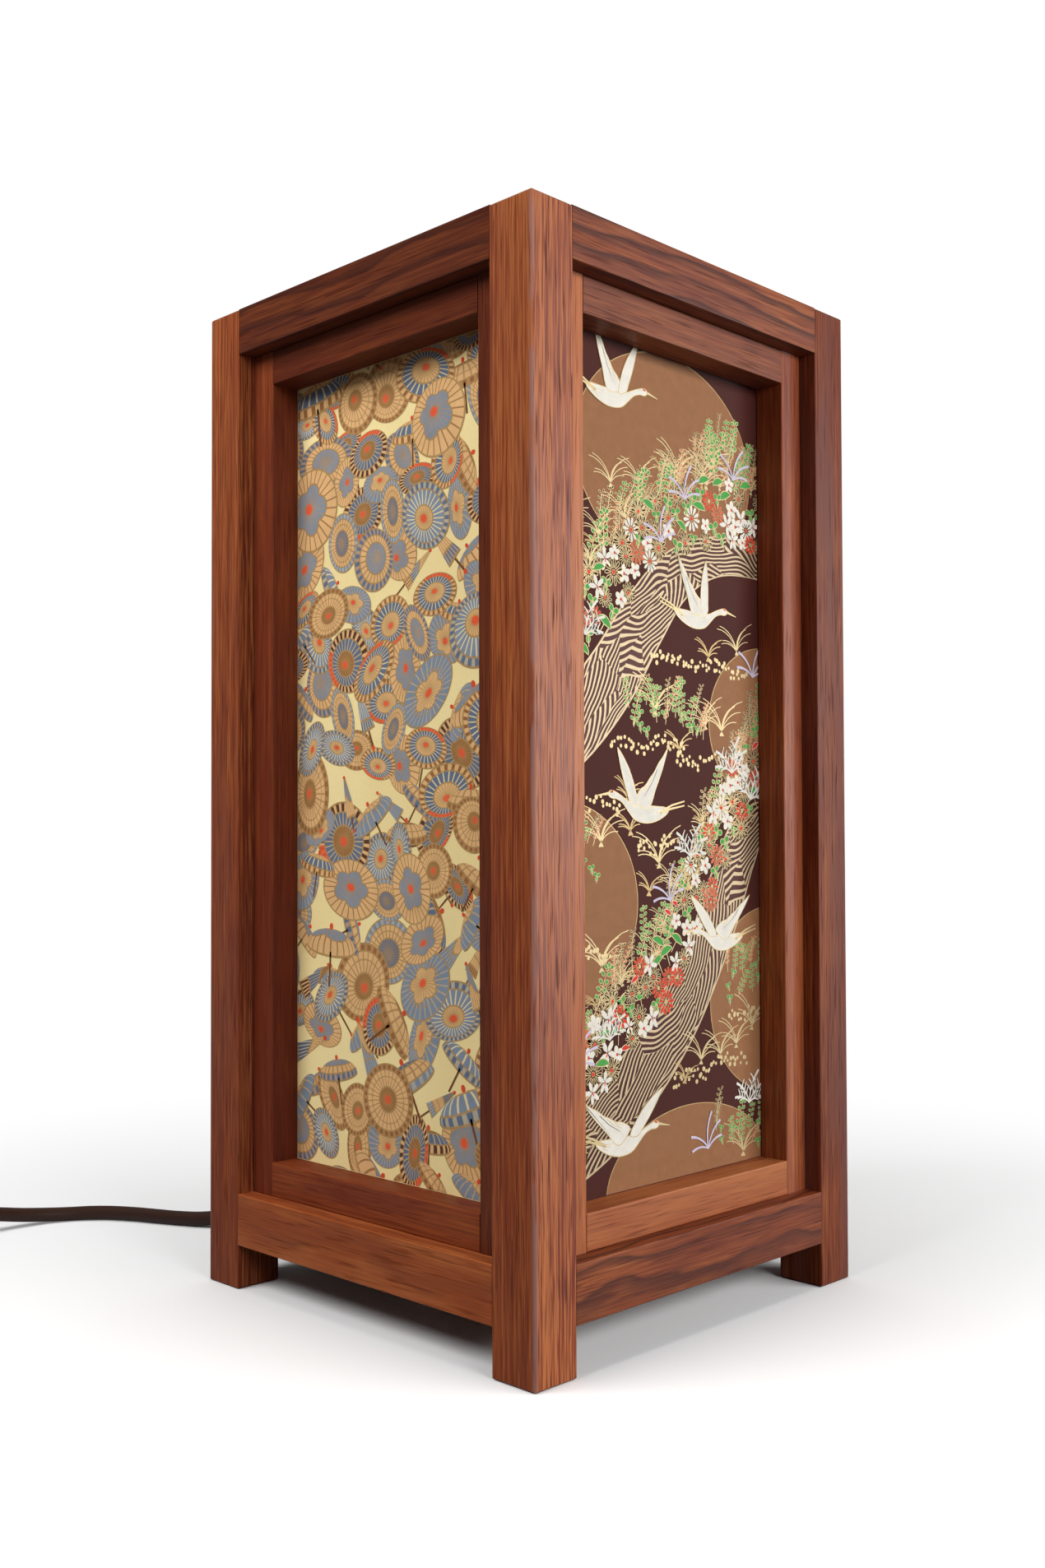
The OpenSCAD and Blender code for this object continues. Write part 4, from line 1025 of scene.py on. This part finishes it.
def crane_spots(motifs, seed):
    """Spots of the small motifs: banks of flowers, thickets, grass, rows of blobs and cranes."""
    dice = random.Random(seed)
    number = {label: i for i, (label, _) in enumerate(motifs)}
    spots = []

    def put(label, u, v, turn, size, tier=0):
        spots.append((u, v, turn, size, size, number[label], tier, 0.0, 0.0))

    for u, v, label in TUFTS:
        if "gold" in label:
            put(label, u, v, dice.uniform(-0.15, 0.15), dice.uniform(0.9, 1.25))
    for (u0, v0), (u1, v1) in DOT_STRINGS:
        count = int(math.hypot(u1 - u0, v1 - v0) / BLOB_SPACING)
        for i in range(count):
            share = i / count
            for row in range(2 if dice.random() < 0.6 else 1):
                put("gold_blob", u0 + (u1 - u0) * share + dice.uniform(-0.7, 0.7),
                    v0 + (v1 - v0) * share + dice.uniform(-1.6, 1.6) + 1.2 * math.sin(share * 12) - 2 * row,
                    dice.uniform(-0.5, 0.5), dice.uniform(0.7, 1.1))
    for line, half in THICKETS:
        for u, v in smooth_line(line, 6):
            for _ in range(2):
                put(dice.choice(("sprig", "clover", "gold_sprig", "red_sprig", "sprig", "clover")),
                    u + dice.uniform(-2, 2), v + dice.uniform(-half, half) - 3, dice.uniform(-0.35, 0.35),
                    dice.uniform(0.6, 0.9))
    for line, half, gap in BANKS:
        rail = smooth_line(line, 8)
        upper = [(u + dice.uniform(-3, 3), v + half + dice.uniform(-7, 7)) for u, v in rail + rail]
        for u, v in upper:
            put(dice.choice(("sprig", "gold_sprig", "red_sprig", GOLD, SHORT, "gold_sprig")),
                u, v, dice.uniform(-0.4, 0.4), dice.uniform(0.7, 1.0))
        placed = []
        for _ in range(FLOWER_TRIES):
            u, v = dice.choice(rail)
            u, v = u + dice.uniform(-4, 4), v + dice.uniform(-half, half)
            if any(math.hypot(u - p, v - q) < gap for p, q in placed):
                continue
            placed.append((u, v))
        dice.shuffle(placed)
        for u, v in placed:
            label = dice.choices(list(FLOWERS), list(FLOWERS.values()))[0]
            put(label, u, v, dice.uniform(-0.6, 0.6), dice.uniform(0.86, 1.16), 1)
    for u, v, label in TUFTS:
        if "gold" not in label:
            put(label, u, v, dice.uniform(-0.25, 0.25), dice.uniform(0.95, 1.3), 2)
    for u, v, label, size in CRANES:
        put(label, u, v, dice.uniform(-0.08, 0.08), size, 3)
    return layered(spots, motifs, 0.75)


def crane_ink():
    """Ink of the crane papers: coloured inks, gold, and the drawn waves of the rivers."""
    f = Finish("crane_ink", Specular_IOR_Level=0.06)
    tint = f.attribute("ink", "Color")
    golden = f.attribute("ink", "Alpha")
    along, across, water = f.parts(f.attribute("flow", "Vector"))
    drift = f.noise(f.join(along, across, 0.0), 0.05, 1.0) - 0.5
    u, v = (along + drift * 6.0) * BUNDLE_STRETCH, across + drift * 6.0
    patches = f.node(
        "ShaderNodeTexVoronoi", {"feature": "F1"},
        {"Vector": f.join(u, v, 0.0), "Scale": 1 / BUNDLE_WIDTH}, output=1,
    ).socket.node
    lot, side, _ = f.parts(Value(f, patches.outputs["Color"]))
    turn = (lot - 0.5) * 2.2 + f.step(side, 0.49, 0.51) * math.pi + math.pi / 2
    heart_u, heart_v, _ = f.parts(Value(f, patches.outputs["Position"]))
    du = u - heart_u - (turn + math.pi / 2).sine() * BUNDLE_WIDTH * 1.5
    dv = v - heart_v - turn.sine() * BUNDLE_WIDTH * 1.5
    crest = abs(((du ** 2.0 + dv ** 2.0) ** 0.5 / WAVE_PITCH) % 1.0 - 0.5)
    wave = 1.0 - f.step(crest, 0.16, 0.25)
    wave = wave.larger(f.step(abs(f.attribute("rim")), 0.93, 0.95))
    tint = f.mix(water, tint, f.mix(wave, srgb(60, 31, 27), srgb(172, 153, 122)))
    golden = golden.larger(water * wave)
    wash = f.noise(f.place(), 240.0, 3.0) * 0.3 + f.noise(f.place(), 1400.0, 2.0) * 0.14
    f.set("Base Color", f.shade(tint, 0.78 + wash))
    f.set("Metallic", golden * 0.15)
    f.set("Roughness", 0.68 - golden * 0.18)
    return f.material


def crane_ground():
    """Dark paper with a faint laid fibre."""
    paper = bpy.context.scene.lamp_paper
    f = Finish("crane_ground", Specular_IOR_Level=0.06)
    x, y, z = f.parts(f.place())
    fibres = f.noise(f.join(x, y, z * 0.25), 1500.0, 2.0)
    wash = f.noise(f.place(), 30.0, 2.0)
    face = f.mix(f.step(abs(x).larger(abs(y)), *BACKING), paper.backing, paper.aubergine)
    f.set("Base Color", f.shade(face, 0.72 + fibres * 0.25 + wash * 0.3))
    f.set("Roughness", 0.66 + fibres * 0.12)
    f.bump(fibres, 0.15, 0.00005)
    return f.material


def land_and_water(name, ink, shades):
    """Hills and rivers under the small motifs."""
    sheet = Sheet()
    for i, (u, v, ru, rv) in enumerate(HILLS):
        sheet.level = i
        sheet.outlined(oval(u, v, ru, rv, 72), shades["hill"], shades["old_gold"], 0.3)
    flows = [(0.0, 0.0, 0.0)] * len(sheet.points)
    rims = [0.0] * len(sheet.points)
    for i, river in enumerate(RIVERS):
        line = smooth_line(river, 10)
        travelled = 60.0 * i
        edges = []
        for k, (u, v, half) in enumerate(line):
            before, after = line[max(k - 1, 0)], line[min(k + 1, len(line) - 1)]
            travelled += math.hypot(u - before[0], v - before[1])
            edges.append((u, v, *aside(before, after, half), travelled, half))
        for a, b in zip(edges, edges[1:]):
            corners = [(a[0] + a[2], a[1] + a[3]), (a[0] - a[2], a[1] - a[3]),
                       (b[0] - b[2], b[1] - b[3]), (b[0] + b[2], b[1] + b[3])]
            notes = [(a[4], a[5], 1.0), (a[4], -a[5], -1.0), (b[4], -b[5], -1.0), (b[4], b[5], 1.0)]
            if clockwise(corners):
                corners, notes = corners[::-1], notes[::-1]
            sheet.polygon(corners, shades["gold"], height=RIVER_HEIGHT)
            flows += [(n[0], n[1], 1.0) for n in notes]
            rims += [n[2] for n in notes]
    made = sheet.mesh(name)
    note(made, "flow", "FLOAT_VECTOR", [v for flow in flows for v in flow])
    note(made, "rim", "FLOAT", rims)
    made.materials.append(ink)
    return add_object(name, made)


# ---- Lead ----


def coil_point(share):
    """Middle of the lead at a share of the coil's turns, as the part's source has it."""
    turn = share * COIL_TURNS
    angle = math.radians(COIL_START + 360 * turn)
    radius = COIL_R - COIL_PITCH * min(turn, COIL_TURNS - turn)
    climb = min(1.0, max(0.0, (turn - COIL_TURNS / 2) / 0.5 + 0.5))
    climb = climb * climb * (3 - 2 * climb)
    return Vector((
        COIL_AT[0] + radius * math.cos(angle), COIL_AT[1] + radius * math.sin(angle),
        LEAD_D / 2 + COIL_PITCH * climb,
    ))


def coil_heading(degrees):
    return Vector((-math.sin(math.radians(degrees)), math.cos(math.radians(degrees)), 0.0))


COIL_END = COIL_START + 360 * COIL_TURNS
COIL_MOUTH = coil_point(0) - LEAD_D * coil_heading(COIL_START)
COIL_EXIT = coil_point(1) + LEAD_D * coil_heading(COIL_END)
PLUG_MOUTH = Vector((*(COIL_EXIT + 22 * coil_heading(COIL_END))[:2], 9.0))
LAMP_ROUTE = [
    (0, 110, LEAD_Z), (-3, 124, 25), (-10, 136, 20), (-20, 144, 12), (-32, 150, 6), (-43, 159, 4),
    (-50, 171, 3.2), (-56, 183, 3.2), (-62, 195, 3.2), (-71, 207, 3.2), (-85, 217, 3.2), (-101, 221, 5),
    (-118, 222, 8), (-134, 222, 9),
]
COIL_ROUTE = (
    [(-198, 222, 9), (-210, 221, 8), (-222, 217, 6), (-233, 210, 4), COIL_MOUTH]
    + [coil_point(i / 148) for i in range(149)]
    + [COIL_EXIT, (2 * COIL_EXIT + PLUG_MOUTH) / 3, (COIL_EXIT + 2 * PLUG_MOUTH) / 3, PLUG_MOUTH]
)


def lead_curve(name, route, material):
    """Round lead along a route."""
    data = bpy.data.curves.new(name, "CURVE")
    data.dimensions = "3D"
    data.bevel_depth = LEAD_D / 2 * MM
    data.bevel_resolution = 5
    data.resolution_u = 4
    data.use_fill_caps = True
    line = data.splines.new("BEZIER")
    line.bezier_points.add(len(route) - 1)
    for point, place in zip(line.bezier_points, route):
        point.co = Vector(place) * MM
        point.handle_left_type = point.handle_right_type = "AUTO"
    data.materials.append(material)
    return add_object(name, data)


# ---- Operators ----

# Camera of the photograph, fitted to the lamp's edges: lens and shifts, place in metres, turns in degrees
CAMERA_LENS = 35.173
CAMERA_SHIFT = (0.00887, 0.01008)
CAMERA_AT = (-0.43963, -0.42775, 0.17595)
CAMERA_TURNS = (91.35, 0.164, -45.059)
# Area lights with their width, height and place in metres, all aimed at the same point
LIGHTS = (
    ("key", 1.7, 0.36, (0.2, -1.15, 0.56)), ("sheen", 0.4, 0.32, (0.64, -0.8, 0.26)),
    ("fill", 0.7, 0.5, (-0.74, 0.16, 0.86)), ("top", 0.9, 0.9, (0.1, 0.1, 1.7)),
)
LIT_POINT = (0, 0, 0.2)


class LAMP_OT_stage(bpy.types.Operator):
    """Camera at the photograph's angle, pale floor, soft lights and white surroundings"""

    bl_idname = "lamp.stage"
    bl_label = "Stage"

    def execute(self, context):
        stage = context.scene.lamp_stage
        lens = bpy.data.cameras.new("camera")
        lens.lens = CAMERA_LENS
        lens.sensor_width = 36.0
        lens.sensor_fit = "AUTO"
        lens.shift_x, lens.shift_y = CAMERA_SHIFT
        lens.clip_start = 0.01
        lens.dof.use_dof = False
        camera = add_object("camera", lens)
        camera.location = CAMERA_AT
        camera.rotation_euler = tuple(math.radians(v) for v in CAMERA_TURNS)
        context.scene.camera = camera

        for name, width, height, place in LIGHTS:
            data = bpy.data.lights.new(name, "AREA")
            data.shape = "RECTANGLE"
            data.energy = getattr(stage, name)
            data.size = width
            data.size_y = height
            lamp = add_object(name, data)
            lamp.location = place
            lamp.rotation_euler = (Vector(LIT_POINT) - Vector(place)).to_track_quat("-Z", "Y").to_euler()
            lamp.visible_glossy = name in ("key", "sheen")
            lamp.visible_diffuse = name != "sheen"

        world = bpy.data.worlds.new("surroundings")
        world.use_nodes = True
        context.scene.world = world
        net = Net(world.node_tree)
        net.tree.nodes.clear()
        rays = net.node("ShaderNodeLightPath").socket.node
        by_eye, through, mirrored = (
            Value(net, rays.outputs[f"Is {kind} Ray"]) for kind in ("Camera", "Transmission", "Glossy")
        )
        seen = by_eye.larger(through).larger(mirrored * stage.mirrored)
        strength = stage.around + (1.0 - stage.around) * seen
        white = {"Color": (1.0, 1.0, 1.0, 1.0), "Strength": strength}
        light = net.node("ShaderNodeBackground", inputs=white)
        end = net.tree.nodes.new("ShaderNodeOutputWorld")
        net.tree.links.new(light.socket, end.inputs[0])

        f = Finish("floor", Roughness=0.8, Specular_IOR_Level=0.1)
        x, y, _ = f.parts(f.place())
        away = f.step((x ** 2.0 + y ** 2.0) ** 0.5, 0.16, 0.5)
        paths = f.node("ShaderNodeLightPath").socket.node
        by_eye = Value(f, paths.outputs["Is Camera Ray"])
        for label in ("Is Glossy Ray", "Is Transmission Ray"):
            by_eye = by_eye.larger(Value(f, paths.outputs[label]))
        f.set("Base Color", f.mix(by_eye, (stage.bounce,) * 3, stage.floor))
        white = f.node("ShaderNodeEmission", inputs={"Color": (1.0, 1.0, 1.0, 1.0), "Strength": 1.0})
        skin = Value(f, f.shader.outputs[0])
        both = f.node("ShaderNodeMixShader", inputs={0: away * by_eye, 1: skin, 2: white})
        f.tree.links.new(both.socket, f.out.inputs[0])
        work = bmesh.new()
        bmesh.ops.create_circle(work, cap_ends=True, segments=96, radius=6.0)
        ground = bpy.data.meshes.new("floor")
        work.to_mesh(ground)
        work.free()
        ground.materials.append(f.material)
        add_object("floor", ground)

        context.scene.view_settings.view_transform = "Standard"
        return {"FINISHED"}


class LAMP_OT_lead(bpy.types.Operator):
    """Lead from the strain relief through the switch to its coil and plug"""

    bl_idname = "lamp.lead"
    bl_label = "Lead"

    def execute(self, context):
        lead = context.scene.lamp_lead
        sheath = plain_finish("lead_sheath", lead.sheath, 0.5, 0.14, 1200.0, 0.2, 0.00008,
                              Specular_IOR_Level=0.25)
        moulded = plain_finish("lead_mouldings", lead.moulded, 0.46, 0.1, 2600.0, 0.3, 0.00006,
                               Specular_IOR_Level=0.2)
        steel = metal_finish("zinc_steel", srgb(190, 192, 196), 0.34, 0.06, 3000.0, 0.1)
        brass = metal_finish("blade_brass", srgb(212, 172, 98), 0.28, 0.08, 2400.0, 0.08)
        black = plain_finish("rocker_gloss", srgb(36, 30, 29), 0.24, 0.06, 1800.0, 0.06, 0.00003,
                             Coat_Weight=0.4, Coat_Roughness=0.15)
        give(["inner_lead", "lamp_cord", "coil_lead", "cord_coil", "plug_lead"], sheath)
        give(["strain_relief", "switch_base", "switch_cover", "plug_body"], moulded)
        give(["switch_screws"], steel)
        give(["plug_blades"], brass)
        give(["switch_rocker"], black)

        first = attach(lead_curve("lead_to_switch", LAMP_ROUTE, sheath), "lamp")
        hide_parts("lamp_cord")
        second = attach(lead_curve("lead_to_plug", COIL_ROUTE, sheath), "lamp")
        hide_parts("coil_lead", "cord_coil", "plug_lead")
        return {"FINISHED"}


def figured(plum, tone, threads, **rest):
    return {"plum": plum, "tone": tone, "threads": threads, **rest}


# Figure of the wood by piece, with painted shade towards the foot of some pieces. Rails and sashes of the
# back have that of the front, and those of the right side that of the left
WOODS = {
    "front_left_post": figured(0.2, 0.04, 2.0, heart=(-0.11, 0.02), foot=0.2),
    # Its strong plum cast is partly the wood's cooler tone and partly a painted bluish reflection on this
    # post
    "front_right_post": figured(0.9, -0.14, 1.1, dim=0.72, polish=0.07),
    "back_left_post": figured(0.3, -0.02, 1.8, foot=0.16),
    "back_right_post": figured(0.3, -0.02, 1.8, foot=0.16),
    "front_top_rail": figured(
        0.4, -0.02, 1.0, bands=0.9, band_pitch=0.006, bend=0.007, dim=0.8, polish=0.1
    ),
    "front_bottom_rail": figured(
        0.15, -0.06, 0.8, heart=(0.02, -0.013), bands=0.8, band_pitch=0.0045, bend=0.0075, dim=0.8, polish=0.1
    ),
    "front_sash_top_rail": figured(0.2, -0.02, 0.7, bands=0.3, dim=0.66),
    "front_sash_bottom_rail": figured(0.05, 0.22, 0.35, bend=0.006, dim=0.92),
    "front_sash_left_stile": figured(0.05, 0.28, 0.6, bands=0.2, foot=0.14),
    "front_sash_right_stile": figured(0.2, -0.08, 0.7, bands=0.3, dim=0.95, foot=-0.14),
    "left_top_rail": figured(0.2, -0.16, 0.7, bands=0.7, band_pitch=0.005, bend=0.007, dim=0.56),
    "left_bottom_rail": figured(0.0, 0.04, 0.35, bands=0.4, band_pitch=0.009, bend=0.012, dim=1.16),
    "left_sash_top_rail": figured(0.1, -0.2, 0.5, bands=0.3, dim=0.64),
    "left_sash_bottom_rail": figured(0.0, -0.14, 0.5, bands=0.3, dim=1.04),
    "left_sash_left_stile": figured(0.1, -0.2, 0.5, bands=0.3, foot=0.22),
    "left_sash_right_stile": figured(0.1, -0.2, 0.5, bands=0.3, dim=0.64),
    "inside": figured(0.05, 0.3, 0.4, bend=0.006),
}


class LAMP_OT_woodwork(bpy.types.Operator):
    """Wood of the posts, rails, sashes, beads, board and cleats"""

    bl_idname = "lamp.woodwork"
    bl_label = "Woodwork"

    def execute(self, context):
        seed = 1
        for name in NODES:
            plan = self.plan(name)
            if plan is None:
                continue
            seed += 1
            low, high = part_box(name)
            middle = (low + high) / 2
            span = high - low
            along = "xyz"[max(range(3), key=lambda i: span[i])]
            if name.endswith("paper_beads"):
                along = "z"
            give([name], wood_finish("wood_" + name, along, middle, span, seed, **plan))
        return {"FINISHED"}

    @staticmethod
    def plan(name):
        """Where the heart of a piece's wood lies, its worn edge with a painted highlight, and its figure with
        any painted shade at its foot.
        """
        wood = {"heart": polar(HEART_AWAY, random.Random(name).uniform(0, 2 * math.pi))}
        if name.endswith("post"):
            kind = name
            wood["worn"] = tuple(
                -HALF_WIDTH if near in name else HALF_WIDTH for near in ("left", "front")
            )
        elif name.endswith(("rail", "stile")):
            side, rest = name.split("_", 1)
            kind = {"back": "front", "right": "left"}.get(side, side) + "_" + rest
        elif name.endswith("beads") or name in ("base_board", "left_cleat", "right_cleat"):
            kind = "inside"
        else:
            return None
        return {**wood, **WOODS[kind]}


class LAMP_OT_parasol_papers(bpy.types.Operator):
    """Parasol papers on the left and right sides"""

    bl_idname = "lamp.parasol_papers"
    bl_label = "Parasol papers"

    def execute(self, context):
        seed = context.scene.lamp_paper.seed
        give(["left_paper", "right_paper"], parasol_ground())
        ink = parasol_ink()
        motifs = parasol_motifs()
        for k, side in enumerate(("left", "right")):
            piece = printed(side + "_print", motifs, parasol_spots(motifs, seed + k), ink, seed + k)
            stand_up(trimmed(piece), side, GROUND_LIFT)
            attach(piece, "lamp")
        return {"FINISHED"}


class LAMP_OT_crane_papers(bpy.types.Operator):
    """Crane papers on the front and back"""

    bl_idname = "lamp.crane_papers"
    bl_label = "Crane papers"

    def execute(self, context):
        seed = context.scene.lamp_paper.seed
        give(["front_paper", "back_paper"], crane_ground())
        shades = crane_inks()
        ink = crane_ink()
        motifs = crane_motifs(shades)
        for k, side in enumerate(("front", "back")):
            land = stand_up(trimmed(land_and_water(side + "_land", ink, shades)), side, GROUND_LIFT)
            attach(land, "lamp")
            piece = printed(side + "_print", motifs, crane_spots(motifs, seed + 10 + k), ink, seed + k)
            stand_up(trimmed(piece), side, LAND_LIFT)
            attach(piece, "lamp")
        return {"FINISHED"}


class LAMP_OT_lampholder(bpy.types.Operator):
    """Porcelain lampholder, its metal parts and the screws"""

    bl_idname = "lamp.lampholder"
    bl_label = "Lampholder"

    def execute(self, context):
        give(["lampholder_body"], plain_finish(
            "porcelain_glaze", srgb(238, 234, 222), 0.2, 0.03, 400.0, 0.05, 0.0001,
            Coat_Weight=0.6, Coat_Roughness=0.08,
        ))
        brass = metal_finish("holder_brass", srgb(206, 166, 96), 0.3, 0.1, 2000.0, 0.08)
        give(["lampholder_sleeve", "lampholder_contact", "board_screws", "cleat_screws"], brass)
        steel = metal_finish("holder_screw_steel", srgb(188, 190, 194), 0.32, 0.06, 3000.0, 0.1)
        give(["lampholder_screws"], steel)
        return {"FINISHED"}


# Profile of the bulb's cap below its thread, as radius and height over its tip, then the cap's radii and its
# thread, in millimetres
CAP_TIP = [(0.01, 0.0), (3.2, 0.0), (4.4, 0.5), (4.5, 1.3), (8.0, 2.4), (11.6, 3.5), (12.5, 4.6)]
CAP_R = 13.1
CAP_MOUTH_R = 12.6
THREAD_LOW = 5.2
THREAD_BELOW_RIM = 2.2
THREAD_PITCH = 3.63
THREAD_DEPTH = 0.85
THREAD_RUNOUT = 2.0


class LAMP_OT_bulb(bpy.types.Operator):
    """Frosted bulb and its threaded cap"""

    bl_idname = "lamp.bulb"
    bl_label = "Bulb"

    def execute(self, context):
        f = Finish("frosted_glass", Transmission_Weight=0.85, IOR=1.45)
        frost = f.noise(f.place(), 1500.0, 2.0)
        f.set("Base Color", f.mix(frost * 0.3, srgb(250, 249, 244), srgb(236, 234, 226)))
        f.set("Roughness", 0.42 + frost * 0.12)
        give(["bulb_glass"], f.material)
        metal = metal_finish("cap_metal", srgb(206, 204, 198), 0.3, 0.08, 2200.0, 0.1)
        give(["bulb_cap"], metal)
        low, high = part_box("bulb_cap")
        base = low.z / MM
        top = high.z / MM - base
        thread_high = top - THREAD_BELOW_RIM
        rows, around = 56, 72
        thread = [(CAP_R, THREAD_LOW + (thread_high - THREAD_LOW) * i / rows) for i in range(rows + 1)]
        profile = CAP_TIP + thread + [(13.0, top - 1.2), (CAP_R, top), (CAP_MOUTH_R, top),
                                      (CAP_MOUTH_R, top - 3.0), (0.01, top - 3.0)]
        points, faces = [], []
        for r, z in profile:
            threaded = THREAD_LOW < z < thread_high and r == CAP_R
            ends = min(1.0, (z - THREAD_LOW) / THREAD_RUNOUT, (thread_high - z) / THREAD_RUNOUT)
            depth = THREAD_DEPTH * max(0.0, ends) if threaded else 0.0
            for k in range(around):
                angle = 2 * math.pi * k / around
                wave = 0.5 - 0.5 * math.cos(2 * math.pi * z / THREAD_PITCH - angle)
                x, y = polar(r - depth * wave, angle)
                points.append((x * MM, y * MM, (base + z) * MM))
        for row in range(len(profile) - 1):
            for k in range(around):
                a, b = row * around + k, row * around + (k + 1) % around
                faces.append((a, b, b + around, a + around))
        faces.append(tuple(range(around))[::-1])
        last = (len(profile) - 1) * around
        faces.append(tuple(range(last, last + around)))
        shell = bpy.data.meshes.new("threaded_cap")
        shell.from_pydata(points, [], faces)
        shell.materials.append(metal)
        for face in shell.polygons:
            face.use_smooth = True
        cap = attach(add_object("threaded_cap", shell), "bulb")
        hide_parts("bulb_cap")
        return {"FINISHED"}


class LAMP_OT_switch_marks(bpy.types.Operator):
    """On and off marks of the rocker"""

    bl_idname = "lamp.switch_marks"
    bl_label = "Switch marks"

    def execute(self, context):
        white = plain_finish("mark_white", srgb(214, 210, 200), 0.5, 0.05)
        slope = math.radians(ROCKER_SLOPE)
        corners = 28
        sheet = bmesh.new()
        for hand in (-1, 1):
            rise = ROCKER_TOP + MARK_AT * math.tan(slope)
            seat = Matrix.Translation((MARK_AT * hand, 0, rise)) @ Matrix.Rotation(-slope * hand, 4, "Y")
            if hand > 0:
                bar = seat @ Matrix.Diagonal((3.0, 0.5, 0.08, 1))
                bmesh.ops.create_cube(sheet, size=1.0, matrix=bar)
                continue
            rows = [
                [sheet.verts.new(seat @ Vector((*polar(r, 2 * math.pi * k / corners), z)))
                 for k in range(corners)]
                for r, z in ((1.55, -0.04), (1.55, 0.04), (1.1, 0.04), (1.1, -0.04))
            ]
            for a, b in zip(rows, rows[1:] + rows[:1]):
                for k in range(corners):
                    j = (k + 1) % corners
                    sheet.faces.new((a[k], a[j], b[j], b[k]))
        place = (
            Matrix.Scale(MM, 4) @ Matrix.Translation((*SWITCH_AT, ROCKER_PIVOT_Z))
            @ Matrix.Rotation(math.pi, 4, "Z") @ Matrix.Rotation(-slope, 4, "Y")
        )
        sheet.transform(place)
        bmesh.ops.recalc_face_normals(sheet, faces=sheet.faces[:])
        data = bpy.data.meshes.new("rocker_marks")
        sheet.to_mesh(data)
        sheet.free()
        data.materials.append(white)
        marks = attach(add_object("rocker_marks", data), "rocker")
        return {"FINISHED"}


OPERATORS = (
    LAMP_OT_stage, LAMP_OT_lead, LAMP_OT_woodwork, LAMP_OT_parasol_papers, LAMP_OT_crane_papers,
    LAMP_OT_lampholder, LAMP_OT_bulb, LAMP_OT_switch_marks,
)
SETTINGS = (
    ("lamp_wood", WoodSettings), ("lamp_paper", PaperSettings), ("lamp_lead", LeadSettings),
    ("lamp_stage", StageSettings),
)


class LAMP_PT_panel(bpy.types.Panel):
    """Pieces of the lamp and their settings"""

    bl_idname = "LAMP_PT_panel"
    bl_label = "Wooden table lamp"
    bl_space_type = "VIEW_3D"
    bl_region_type = "UI"
    bl_category = "Lamp"

    def draw(self, context):
        for operator in OPERATORS:
            self.layout.operator(operator.bl_idname)
        for name, group in SETTINGS:
            box = self.layout.box()
            box.label(text=group.__doc__)
            for key in group.__annotations__:
                box.prop(getattr(context.scene, name), key)


def register():
    for _, group in SETTINGS:
        bpy.utils.register_class(group)
    for operator in OPERATORS:
        bpy.utils.register_class(operator)
    bpy.utils.register_class(LAMP_PT_panel)
    for name, group in SETTINGS:
        setattr(bpy.types.Scene, name, bpy.props.PointerProperty(type=group))


def unregister():
    for name, _ in SETTINGS:
        delattr(bpy.types.Scene, name)
    bpy.utils.unregister_class(LAMP_PT_panel)
    for operator in reversed(OPERATORS):
        bpy.utils.unregister_class(operator)
    for _, group in reversed(SETTINGS):
        bpy.utils.unregister_class(group)


def main():
    register()
    for operator in OPERATORS:
        group, name = operator.bl_idname.split(".")
        getattr(getattr(bpy.ops, group), name)()
    bpy.context.view_layer.update()


if __name__ == "__main__":
    main()
